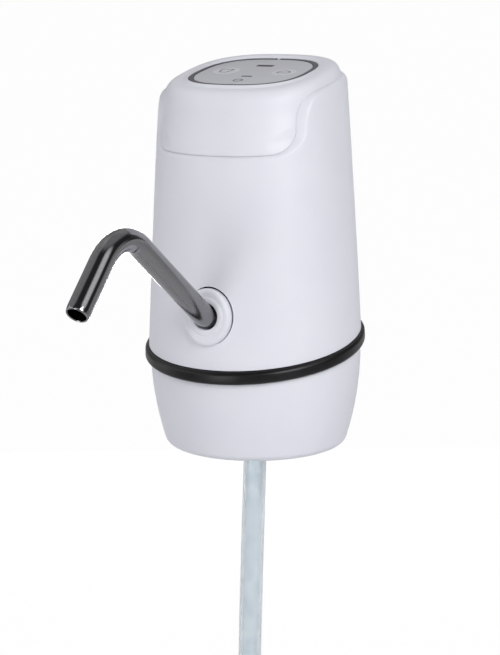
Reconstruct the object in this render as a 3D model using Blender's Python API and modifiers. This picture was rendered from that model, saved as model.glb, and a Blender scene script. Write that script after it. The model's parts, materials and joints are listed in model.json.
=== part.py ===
# Bottled water pump: a battery pump that stands on the neck of a large water bottle.
# Metres, +Z up, spout towards -Y. The origin is the middle of the seat, the flat ring
# inside the skirt that rests on the bottle's mouth.

import math

import bmesh
import bpy
from mathutils import Matrix, Quaternion, Vector

# Clearances
GAP = 0.0003              # between two pieces that touch
OVERRUN = 0.002           # how far a cutter runs past what it cuts
WELD = 0.00001            # points nearer than this are one point

# Faces round a piece
CASING_SIDES = 56
ROUND_SIDES = 24
SMALL_SIDES = 16
SCREW_SIDES = 10

# Casing: its section is a rounded square that grows rounder and wider downwards.
# Its seams lie in planes that drop towards the spout, and a level is the height at
# which such a plane crosses the middle.
LOW_SECTION_Z = 0.011
HIGH_SECTION_Z = 0.096
LOW_HALF_WIDTH = 0.0389
CASING_TAPER = 0.0062     # how much narrower each side is at the high section
LOW_SQUARENESS = 2.05
HIGH_SQUARENESS = 2.55
SEAM_DROP = math.tan(math.radians(9.0))
WALL = 0.0024

# Rubber band
BAND_LEVEL = 0.0117
BAND_HEIGHT = 0.00525
BAND_PROUD = 0.0013
BAND_DEPTH = 0.0032
BAND_ROUND = 0.0014

# Body shell and top cap
RIM_LEVEL = 0.1082
RIM_ROUND_WIDTH = 0.0020
RIM_ROUND_HEIGHT = 0.0032
CAP_RECESS = 0.0021
CAP_WALL = 0.0020
SHOULDER_LEVEL = 0.1056
CREST_LEVEL = 0.1130
CREST_INSET = 0.0077
SHOULDER_POWER = 2.8
APRON_LEVEL = 0.0902
APRON_MARGIN = 0.0059     # from the casing's high section to the apron's edge
APRON_CORNER = 0.0065
APRON_FLARE_WIDTH = 0.0048
APRON_FLARE_HEIGHT = 0.0100
APRON_STEP = 0.00005      # keeps the flare's upper edge off the rim's own face
TONGUE_DEPTH = 0.0070

# Touch panel, in the slope of the cap's top
PANEL_LEVEL = 0.1120
PANEL_THICKNESS = 0.0016
PANEL_MARGIN = 0.0126     # from the casing's high section to the panel's edge
TRIM_WIDTH = 0.0016
TRIM_PROUD = 0.0003
TRIM_OPENING = 0.0016
LEDGE_WIDTH = 0.0030
LEDGE_THICKNESS = 0.0018
WINDOW_WIDTH = 0.0066
WINDOW_DEPTH = 0.0026
WINDOW_Y = 0.0095
KEY_X = 0.0120
LOCK_KEY_Y = -0.0135

# Neck skirt, over the bottle's neck
SKIRT_BOTTOM_Z = -0.0240
SKIRT_STEP = 0.0004       # how far the skirt's top lies inside the casing's low section
SKIRT_TUCK = 0.0054       # how far its foot draws in
SKIRT_BULGE = 2.0
SKIRT_FILLET = 0.0026
RIB_COUNT = 12
RIB_THICKNESS = 0.0016
NECK_MARGIN = 0.0022      # depth of the ribs that hold the bottle's neck

# Seat: gasket, ledge and base plate
GASKET_THICKNESS = 0.0024
GASKET_WIDTH = 0.0085
PLATE_THICKNESS = 0.0025
PLATE_MARGIN = 0.0015     # from the skirt's wall to the plate
POST_MARGIN = 0.0011      # from the skirt's wall to a screw post
SCREW_COUNT = 4
SCREW_RADIUS = 0.0012
SCREW_HEAD_RADIUS = 0.0026
SCREW_HEAD_HEIGHT = 0.0016
SCREW_LENGTH = 0.0160
POST_RADIUS = 0.0032
POST_HEIGHT = 0.0215

# Spout, its escutcheon and its socket; depths run inwards from the front wall
BOSS_Z = 0.0292
ESCUTCHEON_HALF_WIDTH = 0.0092
ESCUTCHEON_HALF_HEIGHT = 0.0105
ESCUTCHEON_PROUD = 0.0024
ESCUTCHEON_SUNK = 0.0012
ESCUTCHEON_FACE_WIDTH = 0.0022
ESCUTCHEON_BORE = 0.0047
BARREL_RADIUS = 0.0066
BARREL_LENGTH = 0.0030
SPOUT_RADIUS = 0.0040
SPOUT_WALL = 0.0006
SPOUT_KNEE_OUT = 0.0024
SPOUT_KNEE_RADIUS = 0.0080
SPOUT_RISE_LENGTH = 0.0705
SPOUT_RISE = math.radians(34.6)
SPOUT_DROP_LENGTH = 0.0366
SPOUT_DROP = math.radians(42.9)
SPOUT_BEND_RADIUS = 0.0200
SPOUT_END_DEPTH = 0.0125
SOCKET_RADIUS = 0.0078
SOCKET_LENGTH = 0.0110
SEAL_THICKNESS = 0.0016
SEAL_DEPTHS = (0.0065, 0.0100)
BARB_RADIUS = 0.0026
BARB_BORE = 0.0015
BARB_LENGTH = 0.0060
LINK_WALL = 0.0012

# Pump: head below, motor above, its axis beside the casing's
PUMP_X = -0.0070
PUMP_Y = 0.0050
HEAD_RADIUS = 0.0150
HEAD_BOTTOM_Z = 0.0215
HEAD_COVER_HEIGHT = 0.0115
PORT_RADIUS = 0.0026
PORT_BORE = 0.0015
PORT_LENGTH = 0.0055
DIAPHRAGM_THICKNESS = 0.0020
CUP_COUNT = 3
CUP_RADIUS = 0.0038
CUP_HEIGHT = 0.0019
CUP_CIRCLE = 0.0075
HOUSING_HEIGHT = 0.0134
HOUSING_WALL = 0.0016
WOBBLE_THICKNESS = 0.0016
WOBBLE_HUB_RADIUS = 0.0045
WOBBLE_HUB_HEIGHT = 0.0044
CAM_RADIUS = 0.0045
CAM_THICKNESS = 0.0025
PIN_RADIUS = 0.0012
PIN_OFFSET = 0.0010
PIN_LENGTH = 0.0050
BRACKET_THICKNESS = 0.0020
BRACKET_LEG_RADIUS = 0.0025
BRACKET_LEG_ANGLES = (20.0, 100.0, 180.0, 260.0)
PUMP_SCREW_ANGLES = (60.0, 220.0)
PUMP_SCREW_CIRCLE = 0.0125
PUMP_SCREW_RADIUS = 0.0010
PUMP_SCREW_LENGTH = 0.0080

# Motor
MOTOR_RADIUS = 0.0122
MOTOR_WALL = 0.0008
MOTOR_LENGTH = 0.0300
MAGNET_THICKNESS = 0.0022
SHAFT_RADIUS = 0.0010
BUSH_RADIUS = 0.0028
BUSH_LENGTH = 0.0022
ARMATURE_GAP = 0.0005
END_CAP_THICKNESS = 0.0024
TERMINAL_WIDTH = 0.0028
TERMINAL_HEIGHT = 0.0040
TERMINAL_THICKNESS = 0.0005
TERMINAL_X = 0.0075

# Battery
CELL_MARGIN = 0.0191      # from the casing's low section to the cell's axis
CELL_Y = 0.0065
CELL_RADIUS = 0.0092
CELL_LENGTH = 0.0650
CRADLE_WALL = 0.0012
CRADLE_FLOOR = 0.0022
CRADLE_HEIGHT = 0.0560
CONTACT_THICKNESS = 0.0003
CONTACT_RADIUS = 0.0050

# Boards
BOARD_THICKNESS = 0.0016
BOARD_MARGIN = 0.0024     # how far the board reaches past the panel
BOARD_LEVEL = 0.1010
BOARD_POST_ANGLES = (45.0, 135.0, 270.0)
BOARD_POST_RADIUS = 0.0018
BOARD_SCREW_RADIUS = 0.0008
BOARD_SCREW_HEAD_RADIUS = 0.0016
BOARD_SCREW_LENGTH = 0.0050
SPRING_RADIUS = 0.0022
SPRING_WIRE_RADIUS = 0.0003
SPRING_TURNS = 3
DISPLAY_WIDTH = 0.0090
DISPLAY_DEPTH = 0.0050
CHARGER_Z = 0.0700
CHARGER_WIDTH = 0.0180
CHARGER_HEIGHT = 0.0130
CHARGER_POST_X = 0.0071
CHARGER_POST_RADIUS = 0.0020
CHARGER_INSET = 0.0062
CHARGER_SCREW_LENGTH = 0.0050
INLET_WIDTH = 0.0090
INLET_HEIGHT = 0.0032
INLET_SHELL = 0.0003
INLET_TONGUE = 0.0007

# Inlet nipple through the base plate
NIPPLE_COLLAR_RADIUS = 0.0058
NIPPLE_COLLAR_BOTTOM_Z = -0.0100
NIPPLE_FLANGE_RADIUS = 0.0075
NIPPLE_FLANGE_THICKNESS = 0.0018
NIPPLE_STEM_RADIUS = 0.0037
NUT_RADIUS = 0.0065
NUT_HEIGHT = 0.0030

# Suction hose and its strainer
HOSE_RADIUS = 0.00425
HOSE_ROUTE = (
    (0.0000, 0.0000, -0.0103), (-0.0001, 0.0000, -0.0200), (-0.0005, -0.0002, -0.0330),
    (-0.0010, -0.0004, -0.0480), (-0.0015, -0.0007, -0.0640), (-0.0020, -0.0010, -0.0820),
    (-0.0025, -0.0013, -0.1010), (-0.0029, -0.0015, -0.1210), (-0.0031, -0.0017, -0.1420),
    (-0.0032, -0.0018, -0.1640), (-0.0031, -0.0018, -0.1870), (-0.0029, -0.0018, -0.2100),
    (-0.0026, -0.0017, -0.2330), (-0.0023, -0.0016, -0.2560), (-0.0020, -0.0015, -0.2790),
    (-0.0018, -0.0014, -0.3010), (-0.0017, -0.0014, -0.3200), (-0.0017, -0.0014, -0.3350),
)
HOSE_STEP = 0.0085
STRAINER_RADIUS = 0.0075
STRAINER_LENGTH = 0.0240
STRAINER_WALL = 0.0014
STRAINER_SLOT_COUNT = 6
STRAINER_SLOT_WIDTH = 0.0024
STRAINER_SLOT_LENGTH = 0.0110
STRAINER_NECK_HEIGHT = 0.0040

# Leads
LEAD_RADIUS = 0.0006
LEAD_STUB = 0.0040         # how far a lead rises before it bends
LEAD_DIP = 0.0060          # how far under the board it turns up to its plug
LEAD_BEND = 0.0020
CHARGING_LEAD_BEND = 0.0040
PLUG_WIDTH = 0.0056
PLUG_DEPTH = 0.0030
PLUG_HEIGHT = 0.0040

# Sizes and places that follow from these
HIGH_HALF_WIDTH = LOW_HALF_WIDTH - CASING_TAPER
PANEL_HALF_WIDTH = HIGH_HALF_WIDTH - PANEL_MARGIN
APRON_HALF_WIDTH = HIGH_HALF_WIDTH - APRON_MARGIN
BOARD_HALF_WIDTH = PANEL_HALF_WIDTH + BOARD_MARGIN
BOARD_POST_CIRCLE = PANEL_HALF_WIDTH + GAP / 3
SKIRT_TOP_RADIUS = LOW_HALF_WIDTH - SKIRT_STEP
SKIRT_LOW_RADIUS = SKIRT_TOP_RADIUS - SKIRT_TUCK
NECK_RADIUS = SKIRT_LOW_RADIUS - WALL - NECK_MARGIN
LEDGE_INNER_RADIUS = NECK_RADIUS + GAP / 2
GASKET_INNER_RADIUS = NECK_RADIUS - GASKET_WIDTH
PLATE_RADIUS = SKIRT_TOP_RADIUS - WALL - PLATE_MARGIN
SCREW_CIRCLE = SKIRT_TOP_RADIUS - WALL - POST_RADIUS - POST_MARGIN
CELL_X = LOW_HALF_WIDTH - CELL_MARGIN
PLATE_BOTTOM_Z = GASKET_THICKNESS + GAP
PLATE_TOP_Z = PLATE_BOTTOM_Z + PLATE_THICKNESS
FLOOR_Z = PLATE_TOP_Z + GAP
HEAD_TOP_Z = HEAD_BOTTOM_Z + HEAD_COVER_HEIGHT
DIAPHRAGM_Z = HEAD_TOP_Z + GAP
DIAPHRAGM_TOP_Z = DIAPHRAGM_Z + DIAPHRAGM_THICKNESS
HOUSING_Z = DIAPHRAGM_TOP_Z + GAP
HOUSING_TOP_Z = HOUSING_Z + HOUSING_HEIGHT
MOTOR_Z = HOUSING_TOP_Z + GAP
MOTOR_TOP_Z = MOTOR_Z + MOTOR_LENGTH
CELL_Z = FLOOR_Z + CRADLE_FLOOR + CONTACT_THICKNESS + GAP + GAP
TRIM_LEVEL = PANEL_LEVEL + TRIM_PROUD
PANEL_UNDER_LEVEL = PANEL_LEVEL - PANEL_THICKNESS
BOARD_TOP_LEVEL = BOARD_LEVEL + BOARD_THICKNESS


# Materials

def material(name, hex_colour, roughness, metallic=0.0, alpha=1.0):
    made = bpy.data.materials.get(name)
    if made:
        return made
    made = bpy.data.materials.new(name)
    made.use_nodes = True
    shader = made.node_tree.nodes["Principled BSDF"]
    channels = [int(hex_colour[i:i + 2], 16) / 255 for i in (0, 2, 4)]
    linear = [c / 12.92 if c <= 0.04045 else ((c + 0.055) / 1.055) ** 2.4 for c in channels]
    shader.inputs["Base Color"].default_value = (*linear, 1.0)
    shader.inputs["Roughness"].default_value = roughness
    shader.inputs["Metallic"].default_value = metallic
    shader.inputs["Alpha"].default_value = alpha
    return made


def white_plastic():
    return material("white ABS", "DCDCE4", 0.35)


def trim_plastic():
    return material("dark grey ABS", "6E6F74", 0.40)


def panel_plastic():
    return material("grey panel film", "B9BABE", 0.30)


def window_plastic():
    return material("smoked window", "3A3B3F", 0.20)


def rubber():
    return material("black rubber", "1C1C1E", 0.60)


def clear_silicone():
    return material("clear silicone", "D8DEE2", 0.30, 0.0, 0.5)


def steel():
    return material("polished stainless steel", "A6A6A8", 0.15, 1.0)


def grey_plastic():
    return material("grey acetal", "8C8F93", 0.45)


def black_plastic():
    return material("black nylon", "26272A", 0.50)


def copper():
    return material("copper winding", "B06A35", 0.35, 1.0)


def bronze():
    return material("sintered bronze", "A8834A", 0.50, 1.0)


def board_green():
    return material("green board", "1F5B3A", 0.45)


def ferrite():
    return material("ferrite", "3C3C40", 0.70)


def cell_wrap():
    return material("cell wrap", "3E7FB8", 0.40)


# Building tools

def collection(name):
    made = bpy.data.collections.get(name)
    if not made:
        made = bpy.data.collections.new(name)
        bpy.context.scene.collection.children.link(made)
    return made


def add_object(name, data, finish, parent=None, location=(0, 0, 0), rotation=(0, 0, 0)):
    made = bpy.data.objects.new(name, data)
    collection("Water pump").objects.link(made)
    if finish:
        data.materials.append(finish)
    made.parent = parent
    made.location = location
    made.rotation_euler = rotation
    return made


def add_empty(name, location=(0, 0, 0), rotation=(0, 0, 0), parent=None):
    return add_object(name, None, None, parent, location, rotation)


def mesh_from(name, bm, angle=40.0):
    data = bpy.data.meshes.new(name)
    bmesh.ops.recalc_face_normals(bm, faces=bm.faces)
    bm.to_mesh(data)
    bm.free()
    data.shade_smooth()
    data.set_sharp_from_angle(angle=math.radians(angle))
    return data


def loft(name, loops, ring=False):
    # Joins equal loops of points; a ring's last loop meets its first, otherwise ends are capped.
    bm = bmesh.new()
    rows = [[bm.verts.new(point) for point in loop] for loop in loops]
    count = len(rows[0])
    pairs = list(zip(rows, rows[1:]))
    if ring:
        pairs.append((rows[-1], rows[0]))
    for low, high in pairs:
        for i in range(count):
            j = (i + 1) % count
            bm.faces.new((low[i], low[j], high[j], high[i]))
    if not ring:
        bm.faces.new(rows[0])
        bm.faces.new(rows[-1])
    return mesh_from(name, bm)


def prism(name, outline, low, high):
    # An outline in X and Z, run along Y from low to high.
    return loft(name, [[(x, low, z) for x, z in outline], [(x, high, z) for x, z in outline]])


def signed_area(profile):
    pairs = zip(profile, profile[1:] + profile[:1])
    return sum(a[0] * b[1] - b[0] * a[1] for a, b in pairs) / 2


def turned(name, profile, finish, parent=None, location=(0, 0, 0), rotation=(0, 0, 0),
           sides=ROUND_SIDES):
    # A profile of radius and height, turned about Z by a Screw modifier.
    points = list(profile)
    if signed_area(points) > 0:
        points.reverse()
    on_axis = sum(1 for radius, height in points if radius == 0)
    if on_axis:
        while not (points[0][0] == 0 and points[-1][0] == 0):
            points.append(points.pop(0))
    bm = bmesh.new()
    verts = [bm.verts.new((radius, 0, height)) for radius, height in points]
    for a, b in zip(verts, verts[1:]):
        bm.edges.new((a, b))
    if not on_axis:
        bm.edges.new((verts[-1], verts[0]))
    data = bpy.data.meshes.new(name)
    bm.to_mesh(data)
    bm.free()
    made = add_object(name, data, finish, parent, location, rotation)
    screw = made.modifiers.new("Turn", "SCREW")
    screw.steps = sides
    screw.render_steps = sides
    screw.use_merge_vertices = True
    screw.merge_threshold = WELD
    screw.use_smooth_shade = True
    return made


def box_mesh(name, size, centre=(0, 0, 0)):
    bm = bmesh.new()
    bmesh.ops.create_cube(bm, size=1.0)
    bmesh.ops.scale(bm, verts=bm.verts, vec=size)
    bmesh.ops.translate(bm, verts=bm.verts, vec=centre)
    return mesh_from(name, bm)


def rod_mesh(name, rods, sides=SMALL_SIDES):
    # Upright rods, each (x, y, low z, high z, radius), as separate solids of one mesh.
    bm = bmesh.new()
    for x, y, low, high, radius in rods:
        place = Matrix.Translation((x, y, (low + high) / 2))
        bmesh.ops.create_cone(bm, cap_ends=True, segments=sides, radius1=radius,
                              radius2=radius, depth=high - low, matrix=place)
    return mesh_from(name, bm)


def around(count, radius, start=0.0):
    # Points at equal steps round a circle.
    turns = [start + 2 * math.pi * i / count for i in range(count)]
    return [(radius * math.cos(turn), radius * math.sin(turn)) for turn in turns]


def at_angles(degrees, radius):
    turns = [math.radians(degree) for degree in degrees]
    return [(radius * math.cos(turn), radius * math.sin(turn)) for turn in turns]


def cutter(made):
    # Moves an object to the cutters, which show as wires and aren't part of the pump.
    collection("Water pump").objects.unlink(made)
    collection("Cutters").objects.link(made)
    made.hide_render = True
    made.display_type = "WIRE"
    return made


def shape_with(target, tool, operation):
    change = target.modifiers.new(operation.title(), "BOOLEAN")
    change.operation = operation
    change.object = tool
    return target


def cut(target, tool):
    return shape_with(target, cutter(tool), "DIFFERENCE")


def merge(target, tool):
    return shape_with(target, cutter(tool), "UNION")


def tube_curve(name, points, radius, sides_level):
    data = bpy.data.curves.new(name, "CURVE")
    data.dimensions = "3D"
    data.bevel_depth = radius
    data.bevel_resolution = sides_level
    data.use_fill_caps = True
    spline = data.splines.new("POLY")
    spline.points.add(len(points) - 1)
    for place, point in zip(spline.points, points):
        place.co = (*point, 1.0)
    return data


def tube_object(name, paths, radius, sides_level, finish, parent=None):
    # One welded mesh of tubes along paths of points.
    bm = bmesh.new()
    for path in paths:
        guide = bpy.data.objects.new(name, tube_curve(name, path, radius, sides_level))
        collection("Water pump").objects.link(guide)
        shape = guide.evaluated_get(bpy.context.evaluated_depsgraph_get())
        bm.from_mesh(bpy.data.meshes.new_from_object(shape))
        bpy.data.objects.remove(guide)
    bmesh.ops.remove_doubles(bm, verts=bm.verts, dist=WELD)
    return add_object(name, mesh_from(name, bm), finish, parent)


def rounded_path(corners, radii, steps=6):
    # Straight runs between the corners, with an arc of its own radius at each inner corner.
    path = [Vector(corners[0])]
    for before, corner, after, radius in zip(corners, corners[1:], corners[2:], radii):
        corner = Vector(corner)
        back = (Vector(before) - corner).normalized()
        ahead = (Vector(after) - corner).normalized()
        half = back.angle(ahead) / 2
        centre = corner + (back + ahead).normalized() * radius / math.sin(half)
        start = corner + back * radius / math.tan(half) - centre
        turn = start.rotation_difference(corner + ahead * radius / math.tan(half) - centre)
        for i in range(steps + 1):
            path.append(centre + Quaternion().slerp(turn, i / steps) @ start)
    path.append(Vector(corners[-1]))
    return path


# The casing's form

def casing_radius(turn, z, inset):
    share = (z - LOW_SECTION_Z) / (HIGH_SECTION_Z - LOW_SECTION_Z)
    half_width = LOW_HALF_WIDTH + (HIGH_HALF_WIDTH - LOW_HALF_WIDTH) * share - inset
    power = LOW_SQUARENESS + (HIGH_SQUARENESS - LOW_SQUARENESS) * share
    reach = abs(math.cos(turn)) ** power + abs(math.sin(turn)) ** power
    return half_width / reach ** (1 / power)


def casing_point(turn, level, inset):
    # A point of the sloping section at a level, a given distance inside the casing's face.
    z = level
    for _ in range(6):
        radius = casing_radius(turn, z, inset)
        z = level + SEAM_DROP * radius * math.sin(turn)
    return Vector((radius * math.cos(turn), radius * math.sin(turn), z))


def turns(count=CASING_SIDES):
    return [2 * math.pi * i / count for i in range(count)]


def casing_loop(inset, level, count=CASING_SIDES):
    return [casing_point(turn, level, inset) for turn in turns(count)]


def casing_ring(name, profile, finish, count=CASING_SIDES):
    # A closed ring whose section is a list of (inset, level).
    return add_object(name, loft(name, [casing_loop(*p, count) for p in profile], ring=True), finish)


def quarter(width, height, steps, power=2.0):
    # A rounded corner as (distance across, distance down) from its top end.
    points = []
    for i in range(steps + 1):
        turn = math.pi / 2 * i / steps
        points.append((width * (1 - math.sin(turn) ** (2 / power)),
                       height * (1 - math.cos(turn) ** (2 / power))))
    return points


def front_wall_y(z):
    return -casing_radius(-math.pi / 2, z, 0)


def wall_draft():
    return math.atan((LOW_HALF_WIDTH - HIGH_HALF_WIDTH) / (HIGH_SECTION_Z - LOW_SECTION_Z))


def sloped(data):
    # Leans a mesh so that its level faces follow the casing's sloping seams.
    data.transform(Matrix(((1, 0, 0, 0), (0, 1, 0, 0), (0, SEAM_DROP, 1, 0), (0, 0, 0, 1))))
    return data


def apron_outline(clearance):
    # Front view of the cap's apron: round lower corners, and a flare into the rim.
    half = APRON_HALF_WIDTH - clearance
    low = APRON_LEVEL + clearance
    top = RIM_LEVEL + clearance + APRON_STEP
    corner = APRON_CORNER - clearance
    flare_width = APRON_FLARE_WIDTH + clearance
    flare_height = APRON_FLARE_HEIGHT + clearance
    side = []
    for i in range(7):
        turn = math.pi / 2 * i / 6
        side.append((half - corner + corner * math.sin(turn), low + corner - corner * math.cos(turn)))
    for i in range(7):
        turn = math.pi / 2 * i / 6
        side.append((half + flare_width * (1 - math.cos(turn)),
                     top - flare_height * (1 - math.sin(turn))))
    far = 2 * LOW_HALF_WIDTH
    side += [(far, top), (far, top + RIM_LEVEL)]
    return side + [(-x, z) for x, z in reversed(side)]


def apron_prism(name, clearance):
    data = prism(name, apron_outline(clearance), -2 * LOW_HALF_WIDTH, WALL / 2 - clearance)
    return add_object(name, sloped(data), None)


def half_width_at(level):
    share = (level - LOW_SECTION_Z) / (HIGH_SECTION_Z - LOW_SECTION_Z)
    return LOW_HALF_WIDTH + (HIGH_HALF_WIDTH - LOW_HALF_WIDTH) * share


def screw_places():
    return around(SCREW_COUNT, SCREW_CIRCLE, math.pi / SCREW_COUNT)


# White casing

def make_body_shell(boss):
    low = BAND_LEVEL + BAND_HEIGHT + GAP
    straight = [low + (RIM_LEVEL - RIM_ROUND_HEIGHT - low) * i / 4 for i in range(5)]
    profile = [(0, level) for level in straight]
    rim = quarter(RIM_ROUND_WIDTH, RIM_ROUND_HEIGHT, 4)
    profile += [(across, RIM_LEVEL - down) for across, down in reversed(rim[:-1])]
    profile += [(WALL, RIM_LEVEL)] + [(WALL, level) for level in reversed(straight)]
    shell = casing_ring("body_shell", profile, white_plastic())
    post_top = FLOOR_Z + POST_HEIGHT
    reach = 2 * POST_RADIUS
    web_low = low + SEAM_DROP * (SCREW_CIRCLE + reach) + GAP
    for x, y in screw_places():
        web = box_mesh("post web", (reach, RIB_THICKNESS, post_top - web_low),
                       (SCREW_CIRCLE + reach / 2, 0, (post_top + web_low) / 2))
        web.transform(Matrix.Rotation(math.atan2(y, x), 4, "Z"))
        merge(shell, add_object("post web", web, None))
    posts = [(x, y, FLOOR_Z, post_top, POST_RADIUS) for x, y in screw_places()]
    merge(shell, add_object("screw posts", rod_mesh("screw posts", posts), None))
    pilot_top = SCREW_LENGTH + GAP
    pilots = [(x, y, PLATE_BOTTOM_Z, pilot_top, SCREW_RADIUS + GAP) for x, y in screw_places()]
    cut(shell, add_object("pilot holes", rod_mesh("pilot holes", pilots, SCREW_SIDES), None))
    merge(shell, charger_rods("charger posts", charger_outside() + GAP, WALL / 2, CHARGER_POST_RADIUS))
    cut(shell, charger_rods("charger pilots", charger_outside(), WALL + GAP,
                            BOARD_SCREW_RADIUS + GAP))
    inlet = (INLET_WIDTH + 2 * GAP, 2 * CHARGER_INSET, INLET_HEIGHT + 2 * GAP)
    place = (0, back_wall_y(CHARGER_Z), CHARGER_Z)
    cut(shell, add_object("inlet opening", box_mesh("inlet opening", inlet, place), None))
    cut(shell, apron_prism("apron opening", 0))
    pocket = [oval_loop(ESCUTCHEON_HALF_WIDTH + GAP, ESCUTCHEON_HALF_HEIGHT + GAP, s)
              for s in (-ESCUTCHEON_SUNK - GAP, ESCUTCHEON_PROUD + OVERRUN)]
    cut(shell, add_object("escutcheon pocket", loft("escutcheon pocket", pocket), None, boss))
    hole = rod_mesh("barrel hole", [(0, 0, -WALL - OVERRUN, OVERRUN, BARREL_RADIUS + GAP)], ROUND_SIDES)
    cut(shell, add_object("barrel hole", hole, None, boss))
    return shell


def back_wall_y(z):
    return casing_radius(math.pi / 2, z, 0)


def charger_outside():
    # The charging board's outer face.
    return back_wall_y(CHARGER_Z) - CHARGER_INSET


def charger_rods(name, start, wall_share, radius):
    # Rods along Y from the charging board to the back wall.
    end = back_wall_y(CHARGER_Z) - wall_share
    data = rod_mesh(name, [(x, 0, -end, -start, radius) for x in (-CHARGER_POST_X, CHARGER_POST_X)],
                    SCREW_SIDES)
    data.transform(Matrix.Rotation(math.pi / 2, 4, "X"))
    return add_object(name, data, None, None, (0, 0, CHARGER_Z))


def trim_outer_inset():
    return half_width_at(PANEL_LEVEL) - PANEL_HALF_WIDTH - GAP - TRIM_WIDTH


def make_top_cap(slope):
    inner = CAP_RECESS + CAP_WALL
    low = APRON_LEVEL - OVERRUN
    ledge_level = PANEL_UNDER_LEVEL - GAP
    under_level = ledge_level - LEDGE_THICKNESS
    pocket = trim_outer_inset() - GAP
    hole = pocket + LEDGE_WIDTH
    shoulder = quarter(CREST_INSET - CAP_RECESS, CREST_LEVEL - SHOULDER_LEVEL, 7, SHOULDER_POWER)
    profile = [(inner, low), (CAP_RECESS, low), (CAP_RECESS, (low + SHOULDER_LEVEL) / 2)]
    profile += [(CAP_RECESS + across, CREST_LEVEL - down) for across, down in reversed(shoulder)]
    profile += [(pocket, TRIM_LEVEL), (pocket, ledge_level), (hole, ledge_level)]
    profile += [(hole, under_level), (CREST_INSET, under_level), (inner, SHOULDER_LEVEL)]
    cap = casing_ring("top_cap", profile, white_plastic())
    tongue = WALL + GAP
    inside = inner + CAP_WALL
    seat = RIM_LEVEL + GAP
    bottom = low - OVERRUN
    step = [(-CAP_WALL, bottom), (-CAP_WALL, seat), (tongue, seat), (tongue, seat - TONGUE_DEPTH),
            (inside, seat - TONGUE_DEPTH), (inside, bottom)]
    side = casing_ring("cap side cutter", step, None)
    cut(side, apron_prism("apron", GAP))
    cut(cap, side)
    posts = rods_at(board_screw_places(), BOARD_THICKNESS + GAP,
                    above_board(under_level + LEDGE_THICKNESS / 2), BOARD_POST_RADIUS)
    merge(cap, add_object("board posts", rod_mesh("board posts", posts), None, slope))
    pilots = rods_at(board_screw_places(), 0, BOARD_SCREW_LENGTH + GAP, BOARD_SCREW_RADIUS + GAP)
    cut(cap, add_object("board pilots", rod_mesh("board pilots", pilots, SCREW_SIDES), None, slope))
    return cap


def skirt_radius(z):
    drop = max(0, BAND_LEVEL - z) / (BAND_LEVEL - SKIRT_BOTTOM_Z - SKIRT_FILLET / 2)
    return SKIRT_TOP_RADIUS - (SKIRT_TOP_RADIUS - SKIRT_LOW_RADIUS) * drop ** SKIRT_BULGE


def skirt_loop(inset, z, radius=None):
    # The skirt's seam slopes at the band and is level at its foot.
    flat_z = SKIRT_BOTTOM_Z + SKIRT_FILLET
    slope = SEAM_DROP * max(0, z - flat_z) / (BAND_LEVEL - GAP - flat_z)
    loop = []
    for turn in turns():
        height = z
        for _ in range(4):
            reach = (radius or skirt_radius(height)) - inset
            height = z + slope * reach * math.sin(turn)
        loop.append((reach * math.cos(turn), reach * math.sin(turn), height))
    return loop


def level_loop(radius, z):
    return [(radius * math.cos(turn), radius * math.sin(turn), z) for turn in turns()]


def make_neck_skirt():
    top = BAND_LEVEL - GAP
    foot = SKIRT_BOTTOM_Z + SKIRT_FILLET
    outside = [skirt_loop(0, top + (foot - top) * i / 5) for i in range(6)]
    for across, down in reversed(quarter(SKIRT_FILLET, -SKIRT_FILLET, 3)[:-1]):
        outside.append(skirt_loop(across, SKIRT_BOTTOM_Z - down))
    inside = [level_loop(LEDGE_INNER_RADIUS, SKIRT_BOTTOM_Z)]
    for share in (0.35, 0.7):
        z = SKIRT_BOTTOM_Z * (1 - share)
        inside.append(level_loop(skirt_radius(z) - WALL, z))
    wall = skirt_radius(0) - WALL
    inside += [level_loop(wall, 0), level_loop(LEDGE_INNER_RADIUS, 0)]
    inside += [level_loop(LEDGE_INNER_RADIUS, GASKET_THICKNESS), level_loop(wall, GASKET_THICKNESS)]
    inside.append(skirt_loop(WALL, top))
    skirt = add_object("neck_skirt", loft("neck_skirt", outside + inside, ring=True), white_plastic())
    low = SKIRT_BOTTOM_Z + SKIRT_FILLET / 2
    outline = [(NECK_RADIUS, low), (skirt_radius(low) - WALL / 2, low),
               (skirt_radius(0) - WALL / 2, GASKET_THICKNESS / 4),
               (LEDGE_INNER_RADIUS + GAP, GASKET_THICKNESS / 4), (LEDGE_INNER_RADIUS + GAP, -GAP),
               (NECK_RADIUS, -GAP)]
    for x, y in around(RIB_COUNT, 1):
        rib = prism("neck rib", outline, -RIB_THICKNESS / 2, RIB_THICKNESS / 2)
        rib.transform(Matrix.Rotation(math.atan2(y, x), 4, "Z"))
        merge(skirt, add_object("neck rib", rib, None))
    holes = [(x, y, -OVERRUN, GASKET_THICKNESS + OVERRUN, SCREW_RADIUS + GAP) for x, y in screw_places()]
    cut(skirt, add_object("skirt holes", rod_mesh("skirt holes", holes, SCREW_SIDES), None))
    return skirt


def make_rubber_band():
    corner = quarter(BAND_ROUND, BAND_ROUND, 3)
    top = BAND_LEVEL + BAND_HEIGHT
    profile = [(BAND_DEPTH, BAND_LEVEL)]
    profile += [(across - BAND_PROUD, BAND_LEVEL + down) for across, down in corner]
    profile += [(across - BAND_PROUD, top - down) for across, down in reversed(corner)]
    profile.append((BAND_DEPTH, top))
    return casing_ring("rubber_band", profile, rubber())


# Touch panel

def panel_loop(half_width, level):
    return casing_loop(half_width_at(level) - half_width, level)


def make_touch_panel():
    loops = [panel_loop(PANEL_HALF_WIDTH, level) for level in (PANEL_UNDER_LEVEL, PANEL_LEVEL)]
    panel = add_object("touch_panel", loft("touch_panel", loops), panel_plastic())
    cut(panel, add_object("window opening", window_mesh("window opening", GAP, OVERRUN), None))
    return panel


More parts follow.
